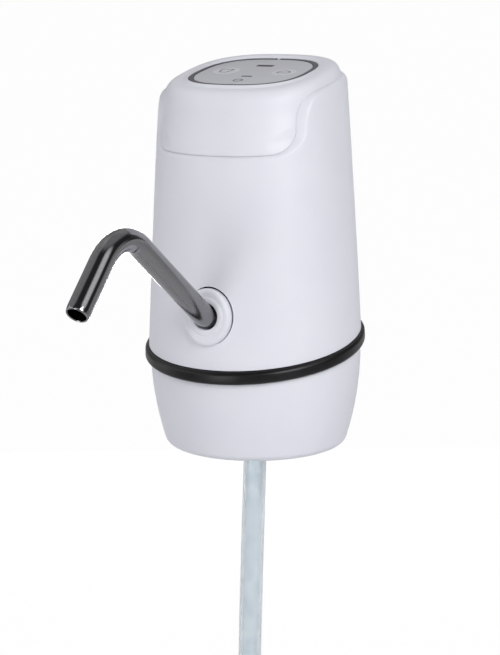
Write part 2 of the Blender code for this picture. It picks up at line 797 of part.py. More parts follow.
def window_mesh(name, side_gap, overrun):
    size = (WINDOW_WIDTH + 2 * side_gap, WINDOW_DEPTH + 2 * side_gap, PANEL_THICKNESS + 2 * overrun)
    return sloped(box_mesh(name, size, (0, WINDOW_Y, (PANEL_LEVEL + PANEL_UNDER_LEVEL) / 2)))


def make_display_window():
    return add_object("display_window", window_mesh("display_window", 0, 0), window_plastic())


def make_panel_trim():
    outer = trim_outer_inset()
    profile = [(outer, PANEL_UNDER_LEVEL), (outer, TRIM_LEVEL), (outer + TRIM_WIDTH, TRIM_LEVEL),
               (outer + TRIM_WIDTH, PANEL_UNDER_LEVEL)]
    trim = casing_ring("panel_trim", profile, trim_plastic())
    opening = box_mesh("trim opening", (TRIM_OPENING, PANEL_HALF_WIDTH, PANEL_HALF_WIDTH),
                       (0, PANEL_HALF_WIDTH * 1.2, PANEL_LEVEL))
    return cut(trim, add_object("trim opening", opening, None))


# Seat on the bottle, and the base plate

def make_neck_gasket():
    outer = LEDGE_INNER_RADIUS - GAP
    profile = [(GASKET_INNER_RADIUS, 0), (outer, 0), (outer, GASKET_THICKNESS),
               (GASKET_INNER_RADIUS, GASKET_THICKNESS)]
    return turned("neck_gasket", profile, rubber(), sides=CASING_SIDES)


def make_base_plate():
    hole = NIPPLE_STEM_RADIUS + GAP
    profile = [(hole, PLATE_BOTTOM_Z), (PLATE_RADIUS, PLATE_BOTTOM_Z), (PLATE_RADIUS, PLATE_TOP_Z),
               (hole, PLATE_TOP_Z)]
    plate = turned("base_plate", profile, grey_plastic(), sides=CASING_SIDES)
    holes = [(x, y, 0, FLOOR_Z + OVERRUN, SCREW_RADIUS + GAP) for x, y in screw_places()]
    return cut(plate, add_object("plate holes", rod_mesh("plate holes", holes, SCREW_SIDES), None))


def screw_profile(radius, head_radius, head_height, length):
    # Head down, shank up, with the head's inner face at zero.
    return [(0, -head_height), (head_radius, -head_height), (head_radius, 0), (radius, 0),
            (radius, length), (0, length)]


def turned_set(name, profile, places, finish, sides, parent=None, rotation=(0, 0, 0)):
    # Equal turned solids, numbered from one.
    for i, place in enumerate(places):
        turned(f"{name}_{i + 1}", profile, finish, parent, place, rotation, sides)


def make_base_screws():
    profile = screw_profile(SCREW_RADIUS, SCREW_HEAD_RADIUS, SCREW_HEAD_HEIGHT, SCREW_LENGTH)
    places = [(x, y, -GAP) for x, y in screw_places()]
    turned_set("base_screw", profile, places, steel(), SCREW_SIDES)


def make_inlet_nipple():
    flange_top = PLATE_BOTTOM_Z - GAP
    flange_low = flange_top - NIPPLE_FLANGE_THICKNESS
    stem_top = FLOOR_Z + NUT_HEIGHT + 2 * GAP
    profile = [(BARB_BORE, NIPPLE_COLLAR_BOTTOM_Z), (NIPPLE_COLLAR_RADIUS, NIPPLE_COLLAR_BOTTOM_Z),
               (NIPPLE_COLLAR_RADIUS, flange_low), (NIPPLE_FLANGE_RADIUS, flange_low),
               (NIPPLE_FLANGE_RADIUS, flange_top), (NIPPLE_STEM_RADIUS, flange_top),
               (NIPPLE_STEM_RADIUS, stem_top), (BARB_RADIUS, stem_top),
               (BARB_RADIUS, stem_top + BARB_LENGTH), (BARB_BORE, stem_top + BARB_LENGTH)]
    return turned("inlet_nipple", profile, grey_plastic())


def make_nipple_nut():
    hole = NIPPLE_STEM_RADIUS + GAP
    nut = add_object("nipple_nut", rod_mesh("nipple_nut", [(0, 0, FLOOR_Z, FLOOR_Z + NUT_HEIGHT,
                                                             NUT_RADIUS)], 6), grey_plastic())
    bore = rod_mesh("nut bore", [(0, 0, 0, FLOOR_Z + NUT_HEIGHT + OVERRUN, hole)], ROUND_SIDES)
    return cut(nut, add_object("nut bore", bore, None))


def link_hose(name, path):
    outer = BARB_RADIUS + GAP + LINK_WALL
    hose = tube_object(name, [path], outer, 4, clear_silicone())
    ends = [Vector(path[0]), Vector(path[-1])]
    first = ends[0] + (ends[0] - Vector(path[1])).normalized() * OVERRUN
    last = ends[1] + (ends[1] - Vector(path[-2])).normalized() * OVERRUN
    bore = tube_object(name + " bore", [[first, *path[1:-1], last]], BARB_RADIUS + GAP, 4, None)
    return cut(hose, bore)


def make_inlet_link():
    low = FLOOR_Z + NUT_HEIGHT + 3 * GAP
    high = HEAD_BOTTOM_Z - GAP
    return link_hose("inlet_link", [(0, 0, low), (0, 0, (low + high) / 2), (0, 0, high)])


# Spout

def oval_loop(half_width, half_height, out):
    return [(half_width * math.cos(turn), half_height * math.sin(turn), out)
            for turn in turns(ROUND_SIDES)]


def make_escutcheon(boss):
    wide, high = ESCUTCHEON_HALF_WIDTH, ESCUTCHEON_HALF_HEIGHT
    face = ESCUTCHEON_FACE_WIDTH
    bore = ESCUTCHEON_BORE
    proud = ESCUTCHEON_PROUD
    sunk = -ESCUTCHEON_SUNK
    edge = proud / 3
    loops = [oval_loop(wide, high, sunk), oval_loop(wide, high, proud - 2 * edge),
             oval_loop(wide - edge, high - edge, proud - edge),
             oval_loop(bore + face, bore + face, proud - edge / 2),
             oval_loop(bore + face - edge, bore + face - edge, proud),
             oval_loop(bore + edge / 2, bore + edge / 2, proud), oval_loop(bore, bore, proud - edge / 2),
             oval_loop(bore, bore, sunk - BARREL_LENGTH),
             oval_loop(BARREL_RADIUS, BARREL_RADIUS, sunk - BARREL_LENGTH),
             oval_loop(BARREL_RADIUS, BARREL_RADIUS, sunk)]
    data = loft("spout_escutcheon", loops, ring=True)
    return add_object("spout_escutcheon", data, white_plastic(), boss)


def socket_front():
    return -ESCUTCHEON_SUNK - BARREL_LENGTH - GAP


def make_spout_socket(boss):
    front = socket_front()
    back = front - SOCKET_LENGTH
    bore = SPOUT_RADIUS + GAP + GAP
    floor = -SPOUT_END_DEPTH - GAP
    groove = SPOUT_RADIUS + GAP + SEAL_THICKNESS + GAP
    half = SEAL_THICKNESS / 2 + GAP
    profile = [(bore, front)]
    for depth in SEAL_DEPTHS:
        profile += [(bore, half - depth), (groove, half - depth), (groove, -half - depth),
                    (bore, -half - depth)]
    profile += [(bore, floor), (BARB_BORE, floor), (BARB_BORE, back - BARB_LENGTH),
                (BARB_RADIUS, back - BARB_LENGTH), (BARB_RADIUS, back), (SOCKET_RADIUS, back),
                (SOCKET_RADIUS, front)]
    return turned("spout_socket", profile, black_plastic(), boss)


def make_spout_seals(boss):
    inner = SPOUT_RADIUS + GAP
    half = SEAL_THICKNESS / 2
    ring = [(inner + half + half * math.cos(turn), half * math.sin(turn)) for turn in turns(6)]
    turned_set("spout_seal", ring, [(0, 0, -depth) for depth in SEAL_DEPTHS], rubber(), ROUND_SIDES,
               boss)


def spout_path(boss_place):
    # From inside the socket, out through the wall, up, over the bend and down to the tip.
    out = boss_place.to_3x3() @ Vector((0, 0, 1))
    wall = boss_place.translation
    knee = wall + out * SPOUT_KNEE_OUT
    bend = knee + SPOUT_RISE_LENGTH * Vector((0, -math.cos(SPOUT_RISE), math.sin(SPOUT_RISE)))
    tip = bend + SPOUT_DROP_LENGTH * Vector((0, -math.cos(SPOUT_DROP), -math.sin(SPOUT_DROP)))
    corners = [wall - out * SPOUT_END_DEPTH, knee, bend, tip]
    return rounded_path(corners, [SPOUT_KNEE_RADIUS, SPOUT_BEND_RADIUS])


def make_spout_tube(boss, boss_place):
    inverse = boss_place.inverted()
    path = [inverse @ point for point in spout_path(boss_place)]
    tube = tube_object("spout_tube", [path], SPOUT_RADIUS, 6, steel(), boss)
    first = path[0] + (path[0] - path[1]).normalized() * OVERRUN
    last = path[-1] + (path[-1] - path[-2]).normalized() * OVERRUN
    bore = tube_object("spout bore", [[first, *path[1:-1], last]], SPOUT_RADIUS - SPOUT_WALL, 6, None, boss)
    return cut(tube, bore)


def make_outlet_link(boss_place):
    root = boss_place @ Vector((0, 0, socket_front() - SOCKET_LENGTH - GAP))
    tip = barb_tip(boss_place)
    port_end = Vector((0, port_face_y() - PORT_LENGTH, tip.z))
    port_root = Vector((0, head_front_y(BARB_RADIUS + GAP + LINK_WALL) - GAP, tip.z))
    return link_hose("outlet_link", [port_root, port_end, tip, root])


def barb_tip(boss_place):
    return boss_place @ Vector((0, 0, socket_front() - SOCKET_LENGTH - BARB_LENGTH))


def head_front_y(beside=0):
    # The pump head's front, at a distance from the casing's middle towards the pump's axis.
    return PUMP_Y - math.sqrt(HEAD_RADIUS ** 2 - (PUMP_X + beside) ** 2)


def port_face_y():
    return head_front_y()


# Suction hose

def hose_points():
    # A smooth curve through the route's places, at equal steps.
    route = [Vector(place) for place in HOSE_ROUTE]
    padded = [2 * route[0] - route[1], *route, 2 * route[-1] - route[-2]]
    fine = []
    for a, b, c, d in zip(padded, padded[1:], padded[2:], padded[3:]):
        for i in range(8):
            t = i / 8
            fine.append(0.5 * (2 * b + (c - a) * t + (2 * a - 5 * b + 4 * c - d) * t * t
                               + (3 * b - a - 3 * c + d) * t ** 3))
    fine.append(route[-1])
    lengths = [0.0]
    for a, b in zip(fine, fine[1:]):
        lengths.append(lengths[-1] + (b - a).length)
    count = round(lengths[-1] / HOSE_STEP)
    points, at = [], 0
    for i in range(count + 1):
        goal = lengths[-1] * i / count
        while at < len(fine) - 2 and lengths[at + 1] < goal:
            at += 1
        share = (goal - lengths[at]) / (lengths[at + 1] - lengths[at])
        points.append(fine[at].lerp(fine[at + 1], share))
    return points


def make_suction_hose():
    return tube_object("suction_hose", [hose_points()], HOSE_RADIUS, 2, clear_silicone())


def make_hose_strainer():
    x, y, z = HOSE_ROUTE[-1]
    top = z - GAP
    bottom = top - STRAINER_LENGTH
    inner = STRAINER_RADIUS - STRAINER_WALL
    bore = HOSE_RADIUS - STRAINER_WALL
    neck = HOSE_RADIUS + STRAINER_WALL
    shoulder = top - STRAINER_NECK_HEIGHT
    profile = [(bore, top), (bore, shoulder - STRAINER_WALL), (inner, shoulder - 2 * STRAINER_WALL),
               (inner, bottom + STRAINER_WALL), (0, bottom + STRAINER_WALL), (0, bottom),
               (STRAINER_RADIUS - STRAINER_WALL, bottom), (STRAINER_RADIUS, bottom + STRAINER_WALL),
               (STRAINER_RADIUS, shoulder - STRAINER_WALL), (neck, shoulder), (neck, top)]
    strainer = turned("hose_strainer", profile, black_plastic(), location=(x, y, 0))
    slots = []
    for across, along in around(STRAINER_SLOT_COUNT, 1):
        slot = box_mesh("strainer slot", (STRAINER_RADIUS, STRAINER_SLOT_WIDTH, STRAINER_SLOT_LENGTH),
                        (STRAINER_RADIUS, 0, bottom + STRAINER_LENGTH * 0.4))
        slot.transform(Matrix.Rotation(math.atan2(along, across), 4, "Z"))
        slots.append(slot)
    return cut(strainer, joined("strainer slots", slots, None, (x, y, 0)))


def joined(name, pieces, finish, location=(0, 0, 0), parent=None):
    # Separate solids in one mesh.
    bm = bmesh.new()
    for piece in pieces:
        bm.from_mesh(piece)
    return add_object(name, mesh_from(name, bm), finish, parent, location)


# Pump

def pump_place(z=0):
    return (PUMP_X, PUMP_Y, z)


def pump_turned(name, profile, finish, sides=ROUND_SIDES):
    return turned(name, profile, finish, None, pump_place(), sides=sides)


def rods_at(places, low, high, radius):
    return [(x, y, low, high, radius) for x, y in places]


def pump_screw_places():
    return at_angles(PUMP_SCREW_ANGLES, PUMP_SCREW_CIRCLE)


def make_pump_bracket():
    top = HEAD_BOTTOM_Z - GAP
    low = top - BRACKET_THICKNESS
    inner = PUMP_SCREW_CIRCLE - BRACKET_LEG_RADIUS
    profile = [(inner, low), (HEAD_RADIUS, low), (HEAD_RADIUS, top), (inner, top)]
    bracket = pump_turned("pump_bracket", profile, black_plastic())
    legs = rods_at(at_angles(BRACKET_LEG_ANGLES, PUMP_SCREW_CIRCLE), FLOOR_Z,
                   (low + top) / 2, BRACKET_LEG_RADIUS)
    merge(bracket, add_object("bracket legs", rod_mesh("bracket legs", legs), None, None, pump_place()))
    holes = rods_at(pump_screw_places(), low - OVERRUN, top + OVERRUN, PUMP_SCREW_RADIUS + GAP)
    hose = BARB_RADIUS + LINK_WALL + 2 * GAP
    holes.append((-PUMP_X, -PUMP_Y, low - OVERRUN, top + OVERRUN, hose))
    return cut(bracket, add_object("bracket holes", rod_mesh("bracket holes", holes), None, None,
                                   pump_place()))


def make_pump_screws():
    low = HEAD_BOTTOM_Z - BRACKET_THICKNESS - 2 * GAP
    profile = screw_profile(PUMP_SCREW_RADIUS, 2 * PUMP_SCREW_RADIUS, SCREW_HEAD_HEIGHT,
                            PUMP_SCREW_LENGTH)
    places = [(x + PUMP_X, y + PUMP_Y, low) for x, y in pump_screw_places()]
    turned_set("pump_screw", profile, places, steel(), SCREW_SIDES)


def make_pump_head(boss_place):
    chamber = PUMP_SCREW_CIRCLE - PUMP_SCREW_RADIUS - HOUSING_WALL
    floor = HEAD_BOTTOM_Z + 2 * WALL
    profile = [(0, HEAD_BOTTOM_Z), (HEAD_RADIUS, HEAD_BOTTOM_Z), (HEAD_RADIUS, HEAD_TOP_Z),
               (chamber, HEAD_TOP_Z), (chamber, floor), (0, floor)]
    head = pump_turned("pump_head", profile, black_plastic())
    down = [(-PUMP_X, -PUMP_Y, HEAD_BOTTOM_Z - PORT_LENGTH, HEAD_BOTTOM_Z + WALL, PORT_RADIUS)]
    merge(head, add_object("inlet port", rod_mesh("inlet port", down), None, None, pump_place()))
    outlet_z = barb_tip(boss_place).z
    face = port_face_y()
    merge(head, port_rod("outlet port", face - PORT_LENGTH, face + WALL, PORT_RADIUS, outlet_z))
    bores = [(-PUMP_X, -PUMP_Y, HEAD_BOTTOM_Z - PORT_LENGTH - OVERRUN, floor + OVERRUN, PORT_BORE)]
    bores += rods_at(pump_screw_places(), HEAD_BOTTOM_Z - OVERRUN, HEAD_BOTTOM_Z + PUMP_SCREW_LENGTH,
                     PUMP_SCREW_RADIUS + GAP)
    cut(head, add_object("head bores", rod_mesh("head bores", bores), None, None, pump_place()))
    wall_end = PUMP_Y - math.sqrt(chamber ** 2 - PUMP_X ** 2) + OVERRUN
    return cut(head, port_rod("outlet bore", face - PORT_LENGTH - OVERRUN, wall_end, PORT_BORE,
                              outlet_z))


def port_rod(name, start, end, radius, z):
    # A rod along Y in front of the pump, in the casing's middle plane.
    data = rod_mesh(name, [(0, 0, -end, -start, radius)])
    data.transform(Matrix.Rotation(math.pi / 2, 4, "X"))
    return add_object(name, data, None, None, (0, 0, z))


def make_diaphragm():
    profile = [(0, DIAPHRAGM_Z), (HEAD_RADIUS, DIAPHRAGM_Z), (HEAD_RADIUS, DIAPHRAGM_TOP_Z),
               (0, DIAPHRAGM_TOP_Z)]
    disc = pump_turned("diaphragm", profile, rubber())
    cups = rods_at(around(CUP_COUNT, CUP_CIRCLE), DIAPHRAGM_Z + WELD * 50, DIAPHRAGM_TOP_Z + CUP_HEIGHT,
                   CUP_RADIUS)
    return merge(disc, add_object("diaphragm cups", rod_mesh("diaphragm cups", cups), None, None,
                                  pump_place()))


def make_cam_housing():
    inner = HEAD_RADIUS - HOUSING_WALL
    hole = CAM_RADIUS + 2 * GAP
    lid = HOUSING_TOP_Z - HOUSING_WALL
    profile = [(inner, HOUSING_Z), (HEAD_RADIUS, HOUSING_Z), (HEAD_RADIUS, HOUSING_TOP_Z),
               (hole, HOUSING_TOP_Z), (hole, lid), (inner, lid)]
    return pump_turned("cam_housing", profile, black_plastic())


def wobble_z():
    return DIAPHRAGM_TOP_Z + CUP_HEIGHT + GAP


def make_wobble_plate():
    low = wobble_z()
    top = low + WOBBLE_THICKNESS
    hub = top + WOBBLE_HUB_HEIGHT
    bore = PIN_RADIUS + PIN_OFFSET + 2 * GAP
    reach = CUP_CIRCLE + CUP_RADIUS
    profile = [(0, low), (reach, low), (reach, top), (WOBBLE_HUB_RADIUS, top), (WOBBLE_HUB_RADIUS, hub),
               (bore, hub), (bore, top), (0, top)]
    return pump_turned("wobble_plate", profile, grey_plastic())


def cam_z():
    return wobble_z() + WOBBLE_THICKNESS + PIN_LENGTH + 2 * GAP


def make_drive_cam():
    low = cam_z()
    bore = SHAFT_RADIUS + GAP
    seat = low + CAM_THICKNESS / 3
    profile = [(0, low), (CAM_RADIUS, low), (CAM_RADIUS, low + CAM_THICKNESS),
               (bore, low + CAM_THICKNESS), (bore, seat), (0, seat)]
    cam = pump_turned("drive_cam", profile, grey_plastic())
    pin = [(PIN_OFFSET, 0, low - PIN_LENGTH, low + CAM_THICKNESS / 6, PIN_RADIUS)]
    return merge(cam, add_object("cam pin", rod_mesh("cam pin", pin), None, None, pump_place()))


# Motor

def make_motor_can():
    hole = BUSH_RADIUS + GAP
    inner = MOTOR_RADIUS - MOTOR_WALL
    profile = [(hole, MOTOR_Z), (MOTOR_RADIUS, MOTOR_Z), (MOTOR_RADIUS, MOTOR_TOP_Z),
               (inner, MOTOR_TOP_Z), (inner, MOTOR_Z + MOTOR_WALL), (hole, MOTOR_Z + MOTOR_WALL)]
    return pump_turned("motor_can", profile, steel())


def magnet_inner():
    return MOTOR_RADIUS - MOTOR_WALL - GAP - MAGNET_THICKNESS


def arc_outline(inner, outer, start, end, steps):
    turn_list = [math.radians(start + (end - start) * i / steps) for i in range(steps + 1)]
    outline = [(outer * math.cos(turn), outer * math.sin(turn)) for turn in turn_list]
    return outline + [(inner * math.cos(turn), inner * math.sin(turn)) for turn in reversed(turn_list)]


def upright(name, outline, low, high):
    return loft(name, [[(x, y, low) for x, y in outline], [(x, y, high) for x, y in outline]])


def make_motor_magnet():
    outer = magnet_inner() + MAGNET_THICKNESS
    low = MOTOR_Z + MOTOR_LENGTH * 0.15
    high = MOTOR_Z + MOTOR_LENGTH * 0.85
    data = upright("motor_magnet", arc_outline(magnet_inner(), outer, -80, 260, 30), low, high)
    return add_object("motor_magnet", data, ferrite(), None, pump_place())


def make_motor_rotor():
    radius = magnet_inner() - ARMATURE_GAP
    low = MOTOR_Z + MOTOR_LENGTH * 0.17
    high = MOTOR_Z + MOTOR_LENGTH * 0.80
    brush_low = MOTOR_Z + MOTOR_LENGTH * 0.84
    brush_high = MOTOR_Z + MOTOR_LENGTH * 0.95
    bottom = cam_z() + CAM_THICKNESS / 3 + GAP
    top = MOTOR_TOP_Z + GAP + END_CAP_THICKNESS / 2
    profile = [(0, bottom), (SHAFT_RADIUS, bottom), (SHAFT_RADIUS, low), (radius, low), (radius, high),
               (SHAFT_RADIUS, high), (SHAFT_RADIUS, brush_low), (BUSH_RADIUS, brush_low),
               (BUSH_RADIUS, brush_high), (SHAFT_RADIUS, brush_high), (SHAFT_RADIUS, top), (0, top)]
    rotor = pump_turned("motor_rotor", profile, copper())
    slots = []
    for across, along in around(3, 1):
        slot = box_mesh("armature slot", (radius, HOUSING_WALL, MOTOR_LENGTH * 0.7),
                        (radius * 0.9, 0, (low + high) / 2))
        slot.transform(Matrix.Rotation(math.atan2(along, across), 4, "Z"))
        slots.append(slot)
    return cut(rotor, joined("armature slots", slots, None, pump_place()))


def make_motor_bushes():
    bore = SHAFT_RADIUS + GAP
    profile = [(bore, 0), (BUSH_RADIUS, 0), (BUSH_RADIUS, BUSH_LENGTH), (bore, BUSH_LENGTH)]
    places = [pump_place(MOTOR_Z), pump_place(MOTOR_TOP_Z + GAP)]
    turned_set("motor_bush", profile, places, bronze(), SMALL_SIDES)


def terminal_boxes(grow):
    low = MOTOR_TOP_Z - GAP - OVERRUN
    high = MOTOR_TOP_Z + GAP + END_CAP_THICKNESS + TERMINAL_HEIGHT
    size = (TERMINAL_THICKNESS + 2 * grow, TERMINAL_WIDTH + 2 * grow, high - low)
    return [box_mesh("terminal", size, (x, 0, (low + high) / 2)) for x in (-TERMINAL_X, TERMINAL_X)]


def make_motor_end_cap():
    low = MOTOR_TOP_Z + GAP
    top = low + END_CAP_THICKNESS
    hole = BUSH_RADIUS + GAP
    profile = [(hole, low), (MOTOR_RADIUS, low), (MOTOR_RADIUS, top), (hole, top)]
    cap = pump_turned("motor_end_cap", profile, black_plastic())
    return cut(cap, joined("terminal slots", terminal_boxes(GAP), None, pump_place()))


def make_motor_terminals():
    for i, data in enumerate(terminal_boxes(0)):
        add_object(f"motor_terminal_{i + 1}", data, steel(), None, pump_place())


# Battery

def cradle_opening():
    # The direction from the cell to the pump, in degrees.
    return math.degrees(math.atan2(PUMP_Y - CELL_Y, PUMP_X - CELL_X))


def make_battery_cell():
    edge = GAP * 2
    profile = [(0, 0), (CELL_RADIUS, 0), (CELL_RADIUS, CELL_LENGTH - edge),
               (CELL_RADIUS - edge, CELL_LENGTH), (0, CELL_LENGTH)]
    return turned("battery_cell", profile, cell_wrap(), None, (CELL_X, CELL_Y, CELL_Z))


def make_battery_cradle():
    inner = CELL_RADIUS + GAP
    outer = inner + CRADLE_WALL
    floor = [(0, FLOOR_Z), (outer, FLOOR_Z), (outer, FLOOR_Z + CRADLE_FLOOR), (0, FLOOR_Z + CRADLE_FLOOR)]
    cradle = turned("battery_cradle", floor, grey_plastic(), None, (CELL_X, CELL_Y, 0))
    start = cradle_opening() + 50
    wall = upright("cradle wall", arc_outline(inner, outer - WELD * 2, start, start + 260, 22),
                   FLOOR_Z + CRADLE_FLOOR / 2, FLOOR_Z + CRADLE_HEIGHT)
    return merge(cradle, add_object("cradle wall", wall, None, None, (CELL_X, CELL_Y, 0)))


def tab_reach():
    return CELL_RADIUS + 2 * LEAD_RADIUS


def make_battery_contacts():
    low = CELL_Z - GAP - CONTACT_THICKNESS
    middle = (0, 0, low + CONTACT_THICKNESS / 2)
    reach = tab_reach()
    disc = rod_mesh("cell_contact_1", [(0, 0, low, low + CONTACT_THICKNESS, CONTACT_RADIUS)])
    top = CELL_Z + CELL_LENGTH + GAP
    end = rod_mesh("cell_contact_2", [(0, 0, top, top + CONTACT_THICKNESS, CONTACT_RADIUS)])
    first = add_object("cell_contact_1", disc, steel(), None, (CELL_X, CELL_Y, 0))
    add_object("cell_contact_2", end, steel(), None, (CELL_X, CELL_Y, 0))
    tab = box_mesh("contact tab", (reach, CONTACT_RADIUS / 2, CONTACT_THICKNESS), middle)
    tab.transform(Matrix.Translation((reach / 2 + LEAD_RADIUS, 0, 0)))
    tab.transform(Matrix.Rotation(math.radians(cradle_opening()), 4, "Z"))
    merge(first, add_object("contact tab", tab, None, None, (CELL_X, CELL_Y, 0)))


# Boards; places on the control board are in its own sloping frame

def slope_angle():
    return math.atan(SEAM_DROP)


def above_board(level):
    return (level - BOARD_LEVEL) * math.cos(slope_angle())


def on_board(x, y):
    # The place on the board squarely behind a place on the panel.
    rise = PANEL_UNDER_LEVEL - BOARD_LEVEL + SEAM_DROP * y
    return (x, y * math.cos(slope_angle()) + rise * math.sin(slope_angle()))


def board_screw_places():
    return at_angles(BOARD_POST_ANGLES, BOARD_POST_CIRCLE)


def make_control_board(slope):
    outline = []
    for turn in turns():
        reach = abs(math.cos(turn)) ** HIGH_SQUARENESS + abs(math.sin(turn)) ** HIGH_SQUARENESS
        radius = BOARD_HALF_WIDTH / reach ** (1 / HIGH_SQUARENESS)
        outline.append((radius * math.cos(turn), radius * math.sin(turn)))
    board = add_object("control_board", upright("control_board", outline, 0, BOARD_THICKNESS),
                       board_green(), slope)
    holes = rods_at(board_screw_places(), -OVERRUN, BOARD_THICKNESS + OVERRUN, BOARD_SCREW_RADIUS + GAP)
    return cut(board, add_object("board holes", rod_mesh("board holes", holes, SCREW_SIDES), None, slope))


def make_board_screws(slope):
    profile = screw_profile(BOARD_SCREW_RADIUS, BOARD_SCREW_HEAD_RADIUS, BOARD_SCREW_RADIUS,
                            BOARD_SCREW_LENGTH)
    places = [(x, y, -GAP) for x, y in board_screw_places()]
    turned_set("board_screw", profile, places, steel(), SCREW_SIDES, slope)


def make_touch_springs(slope):
    low = BOARD_THICKNESS + GAP + SPRING_WIRE_RADIUS
    high = above_board(PANEL_UNDER_LEVEL) - GAP - SPRING_WIRE_RADIUS
    count = SPRING_TURNS * 12
    for i, (x, y) in enumerate((on_board(-KEY_X, 0), on_board(KEY_X, 0), on_board(0, LOCK_KEY_Y))):
        path = [(x + SPRING_RADIUS * math.cos(2 * math.pi * step / 12),
                 y + SPRING_RADIUS * math.sin(2 * math.pi * step / 12),
                 low + (high - low) * step / count) for step in range(count + 1)]
        tube_object(f"touch_spring_{i + 1}", [path], SPRING_WIRE_RADIUS, 0, steel(), slope)


def make_display_module(slope):
    low = BOARD_THICKNESS + GAP
    high = above_board(PANEL_UNDER_LEVEL) - GAP
    x, y = on_board(0, WINDOW_Y)
    data = box_mesh("display_module", (DISPLAY_WIDTH, DISPLAY_DEPTH, high - low), (x, y, (low + high) / 2))
    return add_object("display_module", data, black_plastic(), slope)


def make_charging_board():
    size = (CHARGER_WIDTH, BOARD_THICKNESS, CHARGER_HEIGHT)
    data = box_mesh("charging_board", size, (0, charger_outside() - BOARD_THICKNESS / 2, CHARGER_Z))
    board = add_object("charging_board", data, board_green())
    start = charger_outside() - BOARD_THICKNESS - OVERRUN
    holes = rod_mesh("charger holes", [(x, 0, -charger_outside() - OVERRUN, -start,
                                        BOARD_SCREW_RADIUS + GAP)
                                       for x in (-CHARGER_POST_X, CHARGER_POST_X)], SCREW_SIDES)
    holes.transform(Matrix.Rotation(math.pi / 2, 4, "X"))
    return cut(board, add_object("charger holes", holes, None, None, (0, 0, CHARGER_Z)))


def make_charging_screws():
    profile = screw_profile(BOARD_SCREW_RADIUS, BOARD_SCREW_HEAD_RADIUS, BOARD_SCREW_RADIUS,
                            CHARGER_SCREW_LENGTH)
    y = charger_outside() - BOARD_THICKNESS - GAP
    places = [(x, y, CHARGER_Z) for x in (-CHARGER_POST_X, CHARGER_POST_X)]
    turned_set("charging_screw", profile, places, steel(), SCREW_SIDES, None, (-math.pi / 2, 0, 0))


def make_charging_socket():
    start = charger_outside() + GAP
    end = back_wall_y(CHARGER_Z) - GAP
    middle = (0, (start + end) / 2, CHARGER_Z)
    shell = add_object("charging_socket", box_mesh("charging_socket", (INLET_WIDTH, end - start,
                                                                       INLET_HEIGHT), middle), steel())
    room = (INLET_WIDTH - 2 * INLET_SHELL, end - start, INLET_HEIGHT - 2 * INLET_SHELL)
    inside = box_mesh("socket room", room, (0, middle[1] + INLET_SHELL * 2, CHARGER_Z))
    cut(shell, add_object("socket room", inside, None))
    tongue = (INLET_WIDTH * 0.7, (end - start) * 0.8, INLET_TONGUE)
    data = box_mesh("socket tongue", tongue, (0, start + INLET_SHELL + tongue[1] / 2, CHARGER_Z))
    return merge(shell, add_object("socket tongue", data, None))


# Leads

def board_under(x, y):
    # Just under the control board, clear of it by a gap.
    return (x, y, BOARD_LEVEL + SEAM_DROP * y - GAP)


def plugged(name, paths, x, y):
    # Two leads that run into one plug under the control board.
    leads = tube_object(name, paths, LEAD_RADIUS, 1, rubber())
    half = PLUG_HEIGHT / 2
    data = sloped(box_mesh("plug", (PLUG_WIDTH, PLUG_DEPTH, PLUG_HEIGHT), (0, 0, -half)))
    return merge(leads, add_object("plug", data, None, None, board_under(x, y)))


def plug_end(x, y, side):
    # Where a lead ends inside its plug.
    place = board_under(x, y)
    return (x + side * PLUG_WIDTH / 4, y, place[2] - PLUG_HEIGHT * 0.4)


def make_motor_leads():
    low = MOTOR_TOP_Z + 2 * GAP + END_CAP_THICKNESS + TERMINAL_HEIGHT
    y = PUMP_Y + 2 * PLUG_DEPTH
    paths = []
    for side in (-1, 1):
        x = PUMP_X + side * TERMINAL_X
        end = plug_end(PUMP_X, y, side)
        corners = [(x, PUMP_Y, low), (x, PUMP_Y, low + LEAD_STUB), (end[0], y, end[2] - LEAD_DIP), end]
        paths.append(rounded_path(corners, [LEAD_BEND, LEAD_BEND], 3))
    return plugged("motor_leads", paths, PUMP_X, y)


def make_battery_leads():
    top = CELL_Z + CELL_LENGTH + CONTACT_THICKNESS + 2 * GAP
    turn = math.radians(cradle_opening())
    reach = tab_reach() + LEAD_RADIUS / 2
    x = CELL_X + reach * math.cos(turn)
    y = CELL_Y + reach * math.sin(turn)
    plug_x = (CELL_X + x) / 2
    paths = []
    for side, start in ((1, (CELL_X, CELL_Y, top)), (-1, (x, y, CELL_Z))):
        end = plug_end(plug_x, y, side)
        corners = [start, (start[0], start[1], top + LEAD_STUB),
                   (end[0], y, end[2] - LEAD_DIP), end]
        paths.append(rounded_path(corners, [LEAD_BEND, LEAD_BEND], 3))
    return plugged("battery_leads", paths, plug_x, y)


def make_charging_leads():
    inside = charger_outside() - BOARD_THICKNESS - GAP
    z = CHARGER_Z + CHARGER_HEIGHT / 3
    y = BOARD_HALF_WIDTH * 0.8
    paths = []
    for side in (-1, 1):
        end = plug_end(0, y, side)
        paths.append(rounded_path([(end[0], inside, z), (end[0], y, z), end],
                                  [CHARGING_LEAD_BEND], 4))
    return plugged("charging_leads", paths, 0, y)


# Assembly

for thing in list(bpy.data.objects):
    bpy.data.objects.remove(thing)

boss_draft = wall_draft()
boss = add_empty("spout_boss", (0, front_wall_y(BOSS_Z), BOSS_Z), (math.pi / 2 - boss_draft, 0, 0))
boss_place = Matrix.Translation(boss.location) @ Matrix.Rotation(math.pi / 2 - boss_draft, 4, "X")
slope = add_empty("panel_slope", (0, 0, BOARD_LEVEL), (slope_angle(), 0, 0))

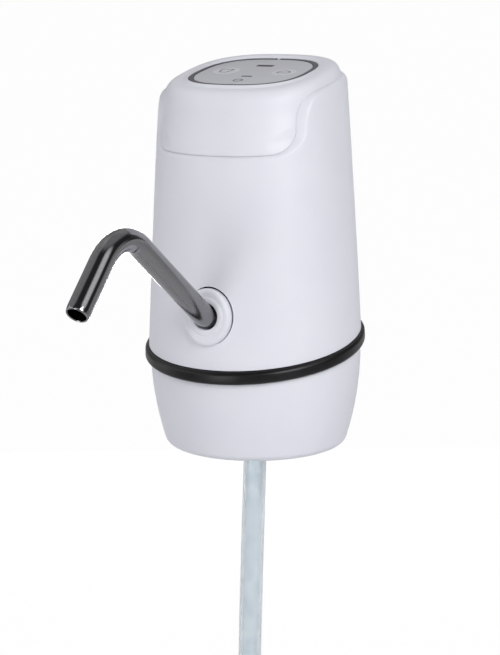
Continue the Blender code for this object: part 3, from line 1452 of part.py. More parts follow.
make_body_shell(boss)
make_top_cap(slope)
make_panel_trim()
make_touch_panel()
make_display_window()
make_rubber_band()
make_neck_skirt()
make_neck_gasket()
make_base_plate()
make_base_screws()
make_inlet_nipple()
make_nipple_nut()
make_inlet_link()
make_suction_hose()
make_hose_strainer()
make_escutcheon(boss)
make_spout_socket(boss)
make_spout_seals(boss)
make_spout_tube(boss, boss_place)
make_outlet_link(boss_place)
make_pump_bracket()
make_pump_screws()
make_pump_head(boss_place)
make_diaphragm()
make_cam_housing()
make_wobble_plate()
make_drive_cam()
make_motor_can()
make_motor_magnet()
make_motor_rotor()
make_motor_bushes()
make_motor_end_cap()
make_motor_terminals()
make_battery_cell()
make_battery_cradle()
make_battery_contacts()
make_control_board(slope)
make_board_screws(slope)
make_touch_springs(slope)
make_display_module(slope)
make_charging_board()
make_charging_screws()
make_charging_socket()
make_motor_leads()
make_battery_leads()
make_charging_leads()
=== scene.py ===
# Bottled water pump, dressed: the white casing, its touch panel, the swivelling steel spout
# and the clear suction hose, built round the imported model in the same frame.

import json
from math import atan, ceil, cos, pi, radians, sin, tan
import bmesh
import bpy
import numpy as np
from mathutils import Matrix, Quaternion, Vector


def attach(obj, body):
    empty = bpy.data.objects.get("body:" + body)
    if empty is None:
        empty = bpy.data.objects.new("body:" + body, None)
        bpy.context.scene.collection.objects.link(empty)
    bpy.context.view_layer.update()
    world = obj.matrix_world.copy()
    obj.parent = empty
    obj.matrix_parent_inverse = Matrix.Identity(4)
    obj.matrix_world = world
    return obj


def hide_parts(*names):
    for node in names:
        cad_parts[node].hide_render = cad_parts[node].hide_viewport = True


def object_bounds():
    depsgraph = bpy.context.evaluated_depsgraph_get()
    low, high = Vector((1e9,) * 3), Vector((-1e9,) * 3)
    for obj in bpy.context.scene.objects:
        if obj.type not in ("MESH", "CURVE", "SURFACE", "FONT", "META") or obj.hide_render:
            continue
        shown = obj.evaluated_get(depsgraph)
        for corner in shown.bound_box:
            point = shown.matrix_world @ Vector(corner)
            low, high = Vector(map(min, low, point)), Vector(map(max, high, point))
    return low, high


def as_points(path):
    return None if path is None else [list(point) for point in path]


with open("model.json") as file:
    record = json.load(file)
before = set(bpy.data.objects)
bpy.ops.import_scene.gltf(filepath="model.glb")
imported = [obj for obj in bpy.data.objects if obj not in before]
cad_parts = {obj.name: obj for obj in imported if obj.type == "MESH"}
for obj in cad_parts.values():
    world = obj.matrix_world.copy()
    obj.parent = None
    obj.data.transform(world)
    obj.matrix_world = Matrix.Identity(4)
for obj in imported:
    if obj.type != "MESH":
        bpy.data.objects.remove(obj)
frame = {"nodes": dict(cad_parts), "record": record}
nodes = frame["nodes"]
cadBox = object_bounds()
mm = 0.001

# Small helpers


def toLinear(hexColour, gain=1.0):
    # An sRGB hex colour as a linear one with alpha, made brighter by the gain.
    channels = [int(hexColour[i:i + 2], 16) / 255 for i in (0, 2, 4)]
    linear = [c / 12.92 if c <= 0.04045 else ((c + 0.055) / 1.055) ** 2.4 for c in channels]
    return [min(1.0, gain * c) for c in linear] + [1.0]


def emptyTree(owner):
    owner.use_nodes = True
    owner.node_tree.nodes.clear()
    return owner.node_tree


def addNode(tree, kind, links=None, stops=None, **settings):
    # Adds a node, a shader node where the kind has no prefix; links maps a socket's name or number
    # to a value, a node's output, or a node, which gives its first output; stops are a colour
    # ramp's (position, colour) pairs.
    made = tree.nodes.new(kind if "Node" in kind else "ShaderNode" + kind)
    for name, value in settings.items():
        setattr(made, name, value)
    for key, value in (links or {}).items():
        if isinstance(value, bpy.types.Node):
            value = value.outputs[0]
        if isinstance(value, bpy.types.NodeSocket):
            tree.links.new(value, made.inputs[key])
        else:
            made.inputs[key].default_value = value
    for index, (position, colour) in enumerate(stops or []):
        ramp = made.color_ramp.elements
        stop = ramp[index] if index < len(ramp) else ramp.new(position)
        stop.position = position
        stop.color = colour
    return made


# Finishes


textures = {"Noise": ("Fac", {}), "Voronoi": ("Distance", {}), "Wave": ("Fac", {"bands_direction": "Z"}),
            "Brick": ("Fac", {})}


def makeMaterial(name, constants, *layers):
    # Each layer is a texture whose features have a size in millimetres, with its sockets' values
    # in capitals, and what its value gives the shader: a colour by the ramp's stops, a range of
    # roughness, a relief's depth in millimetres. Bricks bring their own colours.
    material = bpy.data.materials.new(name)
    material.use_nodes = True
    tree = material.node_tree
    shader = tree.nodes["Principled BSDF"]
    for socket, value in constants.items():
        shader.inputs[socket].default_value = value
    place = addNode(tree, "TexCoord").outputs["Object"]
    for layer in layers:
        if "stretch" in layer:
            place = addNode(tree, "Mapping", {"Vector": place, "Scale": layer["stretch"]})
        kind = layer.get("kind", "Noise")
        output, settings = textures[kind]
        inputs = {key: value for key, value in layer.items() if key[0].isupper()}
        inputs.update({"Vector": place, "Scale": 1 / (layer["size"] * mm)})
        texture = addNode(tree, "Tex" + kind, inputs, **settings)
        value = texture.outputs[output]
        gives = {"Base Color": texture} if kind == "Brick" else {}
        if "stops" in layer:
            stops = [(position, toLinear(*colour)) for position, *colour in layer["stops"]]
            gives["Base Color"] = addNode(tree, "ValToRGB", {"Fac": value}, stops)
        if "gloss" in layer:
            ends = dict(zip(("To Min", "To Max"), layer["gloss"]))
            gives["Roughness"] = addNode(tree, "MapRange", {"Value": value, **ends})
        if "depth" in layer:
            gives["Normal"] = addNode(tree, "Bump", {"Height": value, "Distance": layer["depth"] * mm,
                                                     "Strength": layer.get("strength", 1.0)})
        for socket, node in gives.items():
            tree.links.new(node.outputs[0], shader.inputs[socket])
    return material


def mouldedPlastic(name, colour, darker, roughness, grain=0.35, depth=0.006):
    # Injection-moulded plastic: an even colour, a faint orange peel and a soft sheen.
    return (name, {"IOR": 1.53},
            {"size": 18, "Detail": 3.0, "Roughness": 0.55, "stops": [(0.30, darker), (0.70, colour)]},
            {"size": grain, "depth": depth, "gloss": (roughness - 0.03, roughness + 0.03)})


def printInk(name, colour):
    # Screen-printed ink: a flat, dull colour with slightly lighter dots.
    return name, {"Roughness": 0.45}, {"size": 0.15, "Detail": 1.0,
                                       "stops": [(0.35, colour), (0.65, colour, 1.15)]}


ridge = 6.3    # a wave texture's size over the distance between its ridges

materials = {
    # White ABS with a violet-blue tinge, moulded in a finely polished tool
    "white_abs": mouldedPlastic("moulded white ABS", "E0E1E8", "DDDEE6", 0.46, 0.45, 0.004),
    # Dark grey ABS insert, satin
    "grey_abs": mouldedPlastic("moulded dark grey ABS", "535459", "4E4F54", 0.40, 0.30, 0.005),
    # Printed polycarbonate film over the keys: a light silver grey with a fine fleck
    "panel_film": (
        "silver grey polycarbonate film", {"IOR": 1.58},
        {"size": 0.25, "Detail": 1.0, "stops": [(0.25, "BDBEC3"), (0.75, "C7C8CD")], "gloss": (0.30, 0.42)},
        {"size": 0.30, "depth": 0.003}),
    # Smoked acrylic over the display: near black, glossy
    "smoked_window": (
        "smoked acrylic", {"Roughness": 0.30, "IOR": 1.30},
        {"size": 2, "stops": [(0.3, "2B2B30"), (0.7, "34343A")]}),
    # Thermoplastic rubber: deep black, with a dusty bloom in its grain
    "black_rubber": (
        "black thermoplastic rubber", {"IOR": 1.4},
        {"size": 6, "Detail": 6.0, "Roughness": 0.65, "stops": [(0.35, "0B0B0C"), (0.75, "141416")],
         "gloss": (0.28, 0.40)},
        {"size": 0.30, "depth": 0.010}),
    # Extruded food-grade silicone: clear, with a milky haze
    "clear_silicone": (
        "clear silicone", {"Transmission Weight": 0.75, "IOR": 1.41},
        {"size": 4, "Detail": 3.0, "stops": [(0.3, "DCE4EA"), (0.7, "EEF3F6")], "gloss": (0.12, 0.24)}),
    # Stainless tube, mechanically polished: bright, with fine scratches across it
    "stainless": (
        "polished stainless tube", {"Metallic": 1.0},
        {"stretch": (0.6, 1.0, 1.0), "size": 0.45, "Detail": 4.0, "Roughness": 0.7, "gloss": (0.07, 0.17),
         "stops": [(0.30, "7E7E80"), (0.70, "929293")], "depth": 0.006, "strength": 0.6}),
    # Zinc plating: dull silver, with cloudy crystals
    "steel": (
        "zinc-plated steel", {"Metallic": 1.0},
        {"kind": "Voronoi", "size": 0.8, "stops": [(0.1, "97989A"), (0.8, "B4B5B6")], "gloss": (0.26, 0.40)}),
    # Acetal: mid grey, soft sheen; nylon: near black, with a coarser grain
    "grey_acetal": mouldedPlastic("moulded grey acetal", "8C8F93", "85888C", 0.45),
    "black_nylon": mouldedPlastic("moulded black nylon", "2A2B2E", "232427", 0.50, 0.5, 0.012),
    # Enamelled copper wire, wound side by side: one ridge each wire
    "copper": (
        "enamelled copper winding", {"Metallic": 1.0, "Roughness": 0.34},
        {"kind": "Wave", "size": ridge * 0.35, "Distortion": 0.4, "Detail": 1.0,
         "stops": [(0.1, "6E3416"), (0.7, "C0733C")], "depth": 0.08}),
    # Oil-filled sintered bronze: a porous face
    "bronze": (
        "sintered bronze", {"Metallic": 1.0, "Roughness": 0.5},
        {"kind": "Voronoi", "size": 0.22, "stops": [(0.15, "5E4526"), (0.55, "AD8850")], "depth": 0.05}),
    # Glass-fibre board with green solder mask; the tracks show as a lighter green under it
    "board": (
        "green solder mask", {"Roughness": 0.38},
        {"kind": "Brick", "size": 4, "Color1": toLinear("1C5A38"), "Color2": toLinear("1F6640"),
         "Mortar": toLinear("2F8A58"), "Mortar Size": 0.05, "Brick Width": 1.3, "Row Height": 0.6,
         "depth": 0.03}),
    # Bonded ferrite: dark grey, dull and slightly gritty
    "ferrite": (
        "bonded ferrite", {"Roughness": 0.72},
        {"size": 0.25, "Detail": 4.0, "stops": [(0.3, "2C2C30"), (0.7, "47474C")], "depth": 0.02}),
    # Blue shrink sleeve over the cell: glossy, with faint ripples along it
    "cell_wrap": (
        "blue shrink sleeve", {"Roughness": 0.22},
        {"kind": "Wave", "size": ridge * 5, "Distortion": 2.5, "Detail": 2.0,
         "stops": [(0.2, "3576AE"), (0.8, "4587C0")], "depth": 0.04}),
    "key_ink": printInk("pale grey screen-printed ink", "C9CACF"),
    "line_ink": printInk("dark grey screen-printed ink", "57585D"),
}
finishes = {slot: makeMaterial(*given) for slot, given in materials.items()}

for part in frame["record"]["subparts"]:
    for place in nodes[part["node"]].material_slots:
        place.link = "OBJECT"
        place.material = finishes[part["material_slot"]]
print("finishes: done")

# Mesh tools

mesh = {"merge": 0.002 * mm, "smooth": radians(30.0)}


def placed(name, data):
    made = bpy.data.objects.new(name, data)
    bpy.context.scene.collection.objects.link(made)
    return made


def meshObject(name, bm, material, recalc=True):
    bmesh.ops.remove_doubles(bm, verts=bm.verts, dist=mesh["merge"])
    if recalc:
        bmesh.ops.recalc_face_normals(bm, faces=bm.faces)
    data = bpy.data.meshes.new(name)
    bm.to_mesh(data)
    bm.free()
    if material:
        data.materials.append(material)
    return resmoothed(placed(name, data))


def resmoothed(piece, angle=mesh["smooth"]):
    piece.data.shade_smooth()
    piece.data.set_sharp_from_angle(angle=angle)
    return piece


def turnPoints(count):
    return [2 * pi * i / count for i in range(count)]


def roundAt(reach, turn, z):
    # A point in metres, from its reach, its turn about Z and its height in millimetres.
    return Vector((reach * cos(turn), reach * sin(turn), z)) * mm


def loftObject(name, loops, material, closed=False, cap=False):
    # Skins equal loops of points; closed joins the last loop to the first, cap fills both ends.
    bm = bmesh.new()
    rows = [[bm.verts.new(point) for point in loop] for loop in loops]
    for low, high in zip(rows, rows[1:] + rows[:1] if closed else rows[1:]):
        for i in range(len(low)):
            j = (i + 1) % len(low)
            bm.faces.new((low[i], low[j], high[j], high[i]))
    if cap:
        bm.faces.new(rows[0])
        bm.faces.new(rows[-1])
    return meshObject(name, bm, material)


def roundLoop(radius, z, count):
    return [roundAt(radius, t, z) for t in turnPoints(count)]


def arcPoints(width, height, steps):
    # A quarter of an ellipse as (across, up), which starts upright and ends level.
    turns = [pi / 2 * i / steps for i in range(steps + 1)]
    return [(width * (1 - cos(t)), height * sin(t)) for t in turns]


def baked(piece):
    # The piece with its modifiers applied, as a plain mesh under the same name.
    bpy.context.view_layer.update()
    shape = piece.evaluated_get(bpy.context.evaluated_depsgraph_get())
    old, piece.data = piece.data, bpy.data.meshes.new_from_object(shape)
    piece.modifiers.clear()
    piece.data.name = piece.name
    bpy.data.meshes.remove(old)
    return piece


def booled(piece, tools, operation="DIFFERENCE"):
    # The piece with the tools cut off it or joined to it; the tools are used up.
    for tool in tools:
        change = piece.modifiers.new("cut", "BOOLEAN")
        change.object = tool
        change.operation = operation
        change.solver = "EXACT"
    baked(piece)
    for tool in tools:
        bpy.data.objects.remove(tool)
    return resmoothed(piece)


def quarterCurve(width, height, steps, power=2.0):
    # A rounded corner as (across, down) from its top end.
    turns = [pi / 2 * i / steps for i in range(steps + 1)]
    return [(width * (1 - sin(turn) ** (2 / power)), height * (1 - cos(turn) ** (2 / power)))
            for turn in turns]


def dress(piece, body, slotName, *replaced):
    # Hides the imported parts that a finished piece replaces and attaches it to the body that it moves with;
    # the finish's name is not used.
    if replaced:
        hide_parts(*replaced)
    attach(piece, body)
    return piece


def bentPath(corners, radii, steps):
    # Straight runs with an arc of its own radius at each inner corner.
    path = [Vector(corners[0])]
    for before, corner, after, radius in zip(corners, corners[1:], corners[2:], radii):
        corner = Vector(corner)
        back = (Vector(before) - corner).normalized()
        ahead = (Vector(after) - corner).normalized()
        half = back.angle(ahead) / 2
        centre = corner + (back + ahead).normalized() * radius / sin(half)
        start = corner + back * radius / tan(half) - centre
        turn = start.rotation_difference(corner + ahead * radius / tan(half) - centre)
        for i in range(steps + 1):
            path.append(centre + Quaternion().slerp(turn, i / steps) @ start)
    path.append(Vector(corners[-1]))
    return path


def pathFrames(path):
    # For each point of a path, two unit vectors across it, with no twist.
    frames = []
    side = None
    for i, point in enumerate(path):
        ahead = (path[min(i + 1, len(path) - 1)] - path[max(i - 1, 0)]).normalized()
        if side is None:
            side = ahead.cross(Vector((0, 0, 1)) if abs(ahead.z) < 0.9 else Vector((1, 0, 0)))
        side = (side - ahead * side.dot(ahead)).normalized()
        frames.append((point, side, ahead.cross(side)))
    return frames


def tubeLoops(path, radius, count):
    return [[point + side * radius * cos(t) + over * radius * sin(t) for t in turnPoints(count)]
            for point, side, over in pathFrames(path)]


def ringArray(piece, count, material):
    # Geometry Nodes: copies of a mesh at equal turns round the origin's Z axis.
    tree = bpy.data.node_groups.new("copies round an axis", "GeometryNodeTree")
    sockets = [tree.interface.new_socket(name, in_out=way, socket_type="NodeSocket" + kind)
               for name, way, kind in (("Geometry", "INPUT", "Geometry"), ("Count", "INPUT", "Int"),
                                       ("Step angle", "INPUT", "Float"), ("Geometry", "OUTPUT", "Geometry"))]
    given = addNode(tree, "NodeGroupInput").outputs
    one = addNode(tree, "GeometryNodeGeometryToInstance", {"Geometry": given["Geometry"]})
    many = addNode(tree, "GeometryNodeDuplicateElements", {"Geometry": one, "Amount": given["Count"]},
                   domain="INSTANCE").outputs
    angle = addNode(tree, "Math", {0: many["Duplicate Index"], 1: given["Step angle"]},
                    operation="MULTIPLY")
    axis = addNode(tree, "CombineXYZ", {"Z": angle})
    turned = addNode(tree, "GeometryNodeRotateInstances", {"Instances": many["Geometry"], "Rotation": axis,
                                                           "Local Space": False})
    real = addNode(tree, "GeometryNodeRealizeInstances", {"Geometry": turned})
    painted = addNode(tree, "GeometryNodeSetMaterial", {"Geometry": real, "Material": material})
    addNode(tree, "NodeGroupOutput", {0: painted})
    change = piece.modifiers.new("copies", "NODES")
    change.node_group = tree
    change[sockets[1].identifier] = count
    change[sockets[2].identifier] = 2 * pi / count
    return baked(piece)


def boxObject(name, low, high, material=None):
    bm = bmesh.new()
    bmesh.ops.create_cube(bm, size=1.0)
    for v in bm.verts:
        v.co = Vector([(a if c < 0 else b) * mm for c, a, b in zip(v.co, low, high)])
    return meshObject(name, bm, material)


# Camera, light and floor

view = {
    "target": (0, 0, 0.041), "distance": 0.7143,
    "azimuth": 26.2,      # degrees from the spout's side towards +X
    "elevation": 9.35, "roll": -0.39,
    "lens": {"lens": 107.55, "sensor_width": 36, "sensor_fit": "AUTO", "clip_start": 0.01,
             "shift_x": -0.00773, "shift_y": -0.0931},
}
lamps = [
    # name, place, aim, size, power in watts
    ("softbox right", (0.95, -0.60, 0.55), (0, 0, 0.04), (0.6, 0.7), 8.9),
    ("fill in front", (-0.18, -1.15, 0.08), (0, 0, 0.03), (0.40, 0.35), 2.0),
    ("fill above", (0.15, -1.0, 0.55), (0, 0, 0.03), (0.7, 0.4), 0.6),
    ("fill left", (-0.9, -0.9, 0.5), (0, 0, 0.03), (0.8, 0.8), 2.0),
    ("strip left", (-1.1, -0.25, 0.2), (0, 0, 0.03), (0.4, 0.8), 1.1),
    ("fill behind", (-0.58, 1.17, -0.12), (0, 0, 0.03), (0.5, 0.4), 6.0),
]


def directionAt(azimuth, elevation):
    turn, rise = radians(azimuth), radians(elevation)
    return Vector((sin(turn) * cos(rise), -cos(turn) * cos(rise), sin(rise)))


def makeCamera():
    turn = radians(view["azimuth"])
    back = directionAt(view["azimuth"], view["elevation"])
    right = Vector((cos(turn), sin(turn), 0))
    pose = Matrix((right, back.cross(right), back)).transposed().to_4x4()
    pose = pose @ Matrix.Rotation(radians(view["roll"]), 4, "Z")
    pose.translation = Vector(view["target"]) + back * view["distance"]
    data = bpy.data.cameras.new("camera")
    for name, value in view["lens"].items():
        setattr(data, name, value)
    camera = placed("camera", data)
    camera.matrix_world = pose
    bpy.context.scene.camera = camera


def addLamp(name, place, aim, size, power):
    data = bpy.data.lights.new(name, "AREA")
    data.shape = "RECTANGLE"
    data.size, data.size_y = size
    data.energy = power
    lamp = placed(name, data)
    lamp.location = place
    lamp.rotation_euler = (Vector(aim) - Vector(place)).to_track_quat("-Z", "Y").to_euler()


makeCamera()
for lamp in lamps:
    addLamp(*lamp)

room = {
    "tint": "F0F0F2", "above": 0.36, "fullHeight": 0.9, "dark": 0.06,
    # where gloss sees the white behind the pump: cosines at which it starts and is full, and how much
    "backdrop": (0.55, 0.9, 0.3),
    # large softboxes: degrees from the spout's side towards +X, degrees up, outer and inner radius, level
    "softboxes": ((93, 44, 24, 8, 1.5), (-93, 44, 40, 22, 0.48), (134, 3, 14, 4, 0.45),
                  (180, 60, 36, 20, 0.40)),
}
# the floor's backdrop starts and is full at metres behind the pump
ground = {"colour": "E0E0E2", "white": 0.975, "backdrop": (0.4, 1.6, 0.4), "half": 60.0, "below": 2 * mm}


def alongDirection(tree, place, direction, start, full, share, easing="LINEAR"):
    # Grows from 0 to the share as the place's reach along a direction goes from start to full.
    reach = addNode(tree, "VectorMath", {0: place, 1: direction}, operation="DOT_PRODUCT")
    ends = {"From Min": start, "From Max": full, "To Max": share}
    return addNode(tree, "MapRange", {"Value": reach.outputs["Value"], **ends},
                   interpolation_type=easing)


def showsBackdrop(tree, place, backdrop):
    # 1 where a camera or glass ray looks, less where gloss looks towards the white behind the pump.
    rays = addNode(tree, "LightPath").outputs
    behind = alongDirection(tree, place, -directionAt(view["azimuth"], 0), *backdrop)
    seen = addNode(tree, "Math", {0: rays["Is Glossy Ray"], 1: behind}, operation="MULTIPLY")
    for ray in ("Is Transmission Ray", "Is Camera Ray"):
        seen = addNode(tree, "Math", {0: rays[ray], 1: seen}, operation="MAXIMUM")
    return rays["Is Glossy Ray"], seen


def lightWorld():
    # Light on the object that grows from the horizon up, softboxes that its gloss mirrors in a
    # dim room, and a white backdrop behind it.
    world = bpy.data.worlds.new("studio")
    bpy.context.scene.world = world
    tree = emptyTree(world)
    direction = addNode(tree, "TexCoord").outputs["Generated"]
    isGloss, seen = showsBackdrop(tree, direction, room["backdrop"])
    level = alongDirection(tree, direction, (0, 0, 1), 0.0, room["fullHeight"], room["above"])
    total = addNode(tree, "MapRange", {"Value": isGloss, "To Min": level, "To Max": room["dark"]})
    for azimuth, elevation, outer, inner, strength in room["softboxes"]:
        edge, core = cos(radians(outer)), cos(radians(inner))
        glow = alongDirection(tree, direction, directionAt(azimuth, elevation), edge, core, strength,
                              "SMOOTHSTEP")
        total = addNode(tree, "Math", {0: total, 1: glow})
    light = addNode(tree, "Background", {"Color": toLinear(room["tint"]), "Strength": total})
    white = addNode(tree, "Background", {"Color": (1, 1, 1, 1)})
    either = addNode(tree, "MixShader", {0: seen, 1: light, 2: white})
    addNode(tree, "OutputWorld", {"Surface": either})


def layFloor():
    # A pale floor, well below the hose, shown white like the photograph's background.
    material = bpy.data.materials.new("white floor")
    tree = emptyTree(material)
    place = addNode(tree, "TexCoord").outputs["Object"]
    seen = showsBackdrop(tree, place, ground["backdrop"])[1]
    share = addNode(tree, "Math", {0: seen, 1: ground["white"]}, operation="MULTIPLY")
    diffuse = addNode(tree, "BsdfDiffuse", {"Color": toLinear(ground["colour"])})
    white = addNode(tree, "Emission", {"Color": (1, 1, 1, 1), "Strength": 1.0})
    either = addNode(tree, "MixShader", {0: share, 1: diffuse, 2: white})
    addNode(tree, "OutputMaterial", {"Surface": either})
    bm = bmesh.new()
    bmesh.ops.create_grid(bm, x_segments=1, y_segments=1, size=ground["half"])
    bmesh.ops.translate(bm, verts=bm.verts, vec=(0, 0, cadBox[0][2] - ground["below"]))
    meshObject("floor", bm, material, recalc=False)


lightWorld()
layFloor()
bpy.context.scene.view_settings.view_transform = "Standard"
print("camera, lamps and floor: done")

# Casing form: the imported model's rounded-square section, whose seams drop towards the spout

form = {
    "lowZ": 11.0, "highZ": 96.0, "lowHalf": 38.9, "highHalf": 32.7, "lowPower": 2.05, "highPower": 2.55,
    "drop": tan(radians(9.0)), "wall": 2.4,
}


def casingSize(kind, z):
    share = (z - form["lowZ"]) / (form["highZ"] - form["lowZ"])
    return form["low" + kind] + (form["high" + kind] - form["low" + kind]) * share


def casingHalf(z):
    return casingSize("Half", z)


def casingPoint(turn, level, inset):
    # A point of the sloping section at a level, a distance inside the face; all in millimetres.
    across, along = cos(turn), sin(turn)
    z = level
    for _ in range(5):
        power = casingSize("Power", z)
        reach = (casingHalf(z) - inset) / (abs(across) ** power + abs(along) ** power) ** (1 / power)
        z = level + form["drop"] * reach * along
    return (reach * across, reach * along, z)


def casingLoop(turns, level, inset):
    # One closed loop of the section; the inset is a number or one number a turn.
    insets = inset if hasattr(inset, "__len__") else [inset] * len(turns)
    return [Vector(casingPoint(turn, level, i)) * mm for turn, i in zip(turns, insets)]


def casingLoops(turns, profile):
    return [casingLoop(turns, level, inset) for inset, level in profile]


# Body shell and top cap

body = {
    "low": 16.4, "rim": 108.2, "rimWidth": 2.0, "rimHeight": 3.2, "innerWall": 3.1,
    # how far the apron lies back from the face, and the levels between which that grows
    "recess": 2.05, "footRecess": 0.5, "sideRecess": 1.5,
    "recessFrom": 89.8, "recessTo": 104.0, "sideRecessTo": 94.5,
    # the slope down to the apron, and the gap left round it
    "sideRun": 3.2, "footRun": 0.8, "runSoftness": 0.22, "edgeShare": 0.8, "seam": 0.06, "footSeam": 0.14,
    # the spacing of rows and columns of faces between stops, closest at the seam
    "rowStops": (84.0, 88.5, 98.0, 104.6), "rows": (7.0, 0.9, 0.28, 0.45, 0.2),
    "columns": (0.9, 0.3, 0.5, 1.3), "beforeSeam": 3, "afterSeam": 1,
    "innerRows": (104.0, 96.0, 84.0, 62.0, 40.0), "arcLevel": 100.0, "arcPoints": 361,
}
apron = {
    "level": 89.8, "middle": 97.0, "half": 27.8, "corner": 6.5, "flareWidth": 3.8, "flareHeight": 10.0,
    "steps": 20, "sideEdge": 1.3, "footEdge": 0.7, "edgeDrop": 0.5, "edgeRound": 0.96,
    "patchOut": 3.0, "patchIn": 8.0, "patchSteps": 40, "overRim": (0.05, 0.01),
}
cap = {
    "wall": 2.0, "shoulder": 105.6, "shoulderPower": 3.3,
    "crest": 112.08, "crestInset": 7.9, "crestTilt": 0.03,
    "panelLevel": 112.0, "panelHalf": 20.1, "panelThickness": 1.6, "trimWidth": 1.6, "trimProud": 0.12,
    "ledgeWidth": 3.0, "ledgeThickness": 1.8, "ledgeGap": 0.3, "tongueDepth": 7.0, "tongueGap": 0.1,
    "gap": 0.15, "edge": 0.35, "steps": 26, "landSteps": 4, "belowApron": 2.0, "cut": 3, "cutBelow": 2,
    # the round edge of the panel's pocket, in shares of the edge: where the land ends, the first
    # step in and up, and the drop down the pocket's side
    "landEnd": 0.3, "edgeIn": 0.3, "edgeUp": 0.15, "edgeDown": 0.4,
}
panelTop, panelFoot = cap["panelLevel"], cap["panelLevel"] - cap["panelThickness"]
trimTop = panelTop + cap["trimProud"]


def apronSide(clearance):
    # The right half of the apron's outline, from its foot's corner up to the end of the flare.
    half = apron["half"] - clearance
    foot = apron["level"] + clearance * body["footSeam"] / body["seam"]
    corner = apron["corner"] - clearance
    wide, tall = apron["flareWidth"] + clearance, apron["flareHeight"] + clearance
    opening, cover = apron["overRim"]
    top = body["rim"] + (opening if clearance <= 0 else body["seam"] + cover)
    side = [(half - corner + up, foot + across) for across, up in arcPoints(corner, corner, apron["steps"])]
    return side + [(half + across, top - tall + up) for across, up in arcPoints(wide, tall, apron["steps"])]


def frontTurn(x, level):
    # The turn, from the front to the right side, at which the casing's face has this x.
    low, high = -pi / 2, 0.0
    for _ in range(30):
        middle = (low + high) / 2
        low, high = (middle, high) if casingPoint(middle, level, 0)[0] < x else (low, middle)
    return low


def arcTable():
    # Turns from the front to the back over the right side, and the distance along the face.
    turns = np.linspace(-pi / 2, pi / 2, body["arcPoints"])
    places = np.array([casingPoint(t, body["arcLevel"], 0)[:2] for t in turns])
    steps = np.hypot(*np.diff(places, axis=0).T)
    return turns, np.concatenate([[0.0], np.cumsum(steps)])


arcTurns, arcs = arcTable()


def apronPatch(name, clearance):
    # A thick patch of the casing inside the apron's outline, which cuts square to the face.
    rows = [(frontTurn(x, level), level) for x, level in apronSide(clearance)]
    rows.append((rows[-1][0], rows[-1][1] + form["wall"]))
    count = apron["patchSteps"]
    loops = []
    for turn, level in rows:
        arc = [-pi - turn + (pi + 2 * turn) * i / count for i in range(count + 1)]
        outer, inner = casingLoop(arc, level, -apron["patchOut"]), casingLoop(arc, level, apron["patchIn"])
        loops.append(outer + inner[::-1])
    return loftObject(name, loops, None, cap=True)


def spaced(stops, spacings):
    # Values from the first stop to the last, evenly spaced between stops, with a spacing for each run.
    values = []
    for low, high, spacing in zip(stops, stops[1:], spacings):
        count = max(1, ceil((high - low) / spacing))
        values += [low + (high - low) * i / count for i in range(count)]
    return values + [stops[-1]]


def casingTurns():
    # Turns for the columns of faces: close together where the apron's seam runs.
    edge = float(np.interp(frontTurn(apron["half"], apron["middle"]), arcTurns, arcs))
    side = float(np.interp(0.0, arcTurns, arcs))
    stops = [0.0, edge - apron["corner"] - body["beforeSeam"], edge + body["sideRun"] + body["afterSeam"],
             side, float(arcs[-1])]
    right = [float(np.interp(s, arcs, arcTurns)) for s in spaced(stops, body["columns"])]
    return right + [pi - turn for turn in reversed(right[1:-1])]


def levelRows():
    return spaced([body["low"], *body["rowStops"], body["rim"]], body["rows"])


def smoothShare(value, low, high):
    share = np.clip((value - low) / (high - low), 0, 1)
    return share * share * (3 - 2 * share)


def recessGrid(turns, levels):
    # How far the apron lies back from the body's face: more at the top, and more at its sides.
    levels = np.array(levels)[:, None]
    behind = 99.0    # farther out than any point in front
    fronts = np.array([abs(casingPoint(turn, body["arcLevel"], 0)[0]) if sin(turn) < 0 else behind
                       for turn in turns])[None, :]
    foot = body["footRecess"]
    middle = (body["recess"] - foot) * smoothShare(levels, body["recessFrom"], body["recessTo"])
    side = (body["sideRecess"] - foot) * smoothShare(fronts, apron["half"] / 2, apron["half"])
    side = side * smoothShare(levels, body["recessFrom"], body["sideRecessTo"])
    return foot + np.maximum(middle, side)


def apronDistance(turns, levels, sideRun, footRun):
    # How far each point lies from the apron's outline, as a share of a run to the side and
    # down, and whether it lies inside.
    side = apronSide(0)
    edge = [(0.0, side[0][1])] + side
    edgeArcs = np.array([np.interp(frontTurn(x, level), arcTurns, arcs) for x, level in edge])
    edgeLevels = np.array([level for x, level in edge])
    folded = [turn if turn <= pi / 2 else pi - turn for turn in turns]
    columnArcs = np.interp(folded, arcTurns, arcs)
    u, v = np.meshgrid(columnArcs / sideRun, np.array(levels) / footRun)
    far, tiny = 9.0, 1e-12    # beyond every distance here, and what keeps a zero length off the divisor
    best = np.full(u.shape, far)
    points = list(zip(edgeArcs / sideRun, edgeLevels / footRun))
    for (ua, va), (ub, vb) in zip(points, points[1:]):
        du, dv = ub - ua, vb - va
        share = np.clip(((u - ua) * du + (v - va) * dv) / (du * du + dv * dv + tiny), 0, 1)
        best = np.minimum(best, np.hypot(u - ua - share * du, v - va - share * dv))
    limit = np.interp(levels, edgeLevels[1:], edgeArcs[1:])
    inside = (columnArcs[None, :] < limit[:, None]) & (np.array(levels)[:, None] > apron["level"])
    return best, inside


def bodyInsets(turns, levels):
    # The body's face drawn in: round at its rim, and down a slope to the apron.
    distance, inside = apronDistance(turns, levels, body["sideRun"], body["footRun"])
    share = np.where(inside, 0.0, distance)
    soft = body["runSoftness"]
    slope = np.where(share < 1 - soft, 1 - share, np.clip(1 + soft - share, 0, None) ** 2 / (4 * soft))
    ramp = (recessGrid(turns, levels) + body["edgeShare"] * apron["edgeDrop"]) * slope
    down = np.clip(1 - (body["rim"] - np.array(levels)) / body["rimHeight"], 0, 1)
    rim = body["rimWidth"] * (1 - np.sqrt(1 - down ** 2))
    return np.maximum(ramp, rim[:, None])


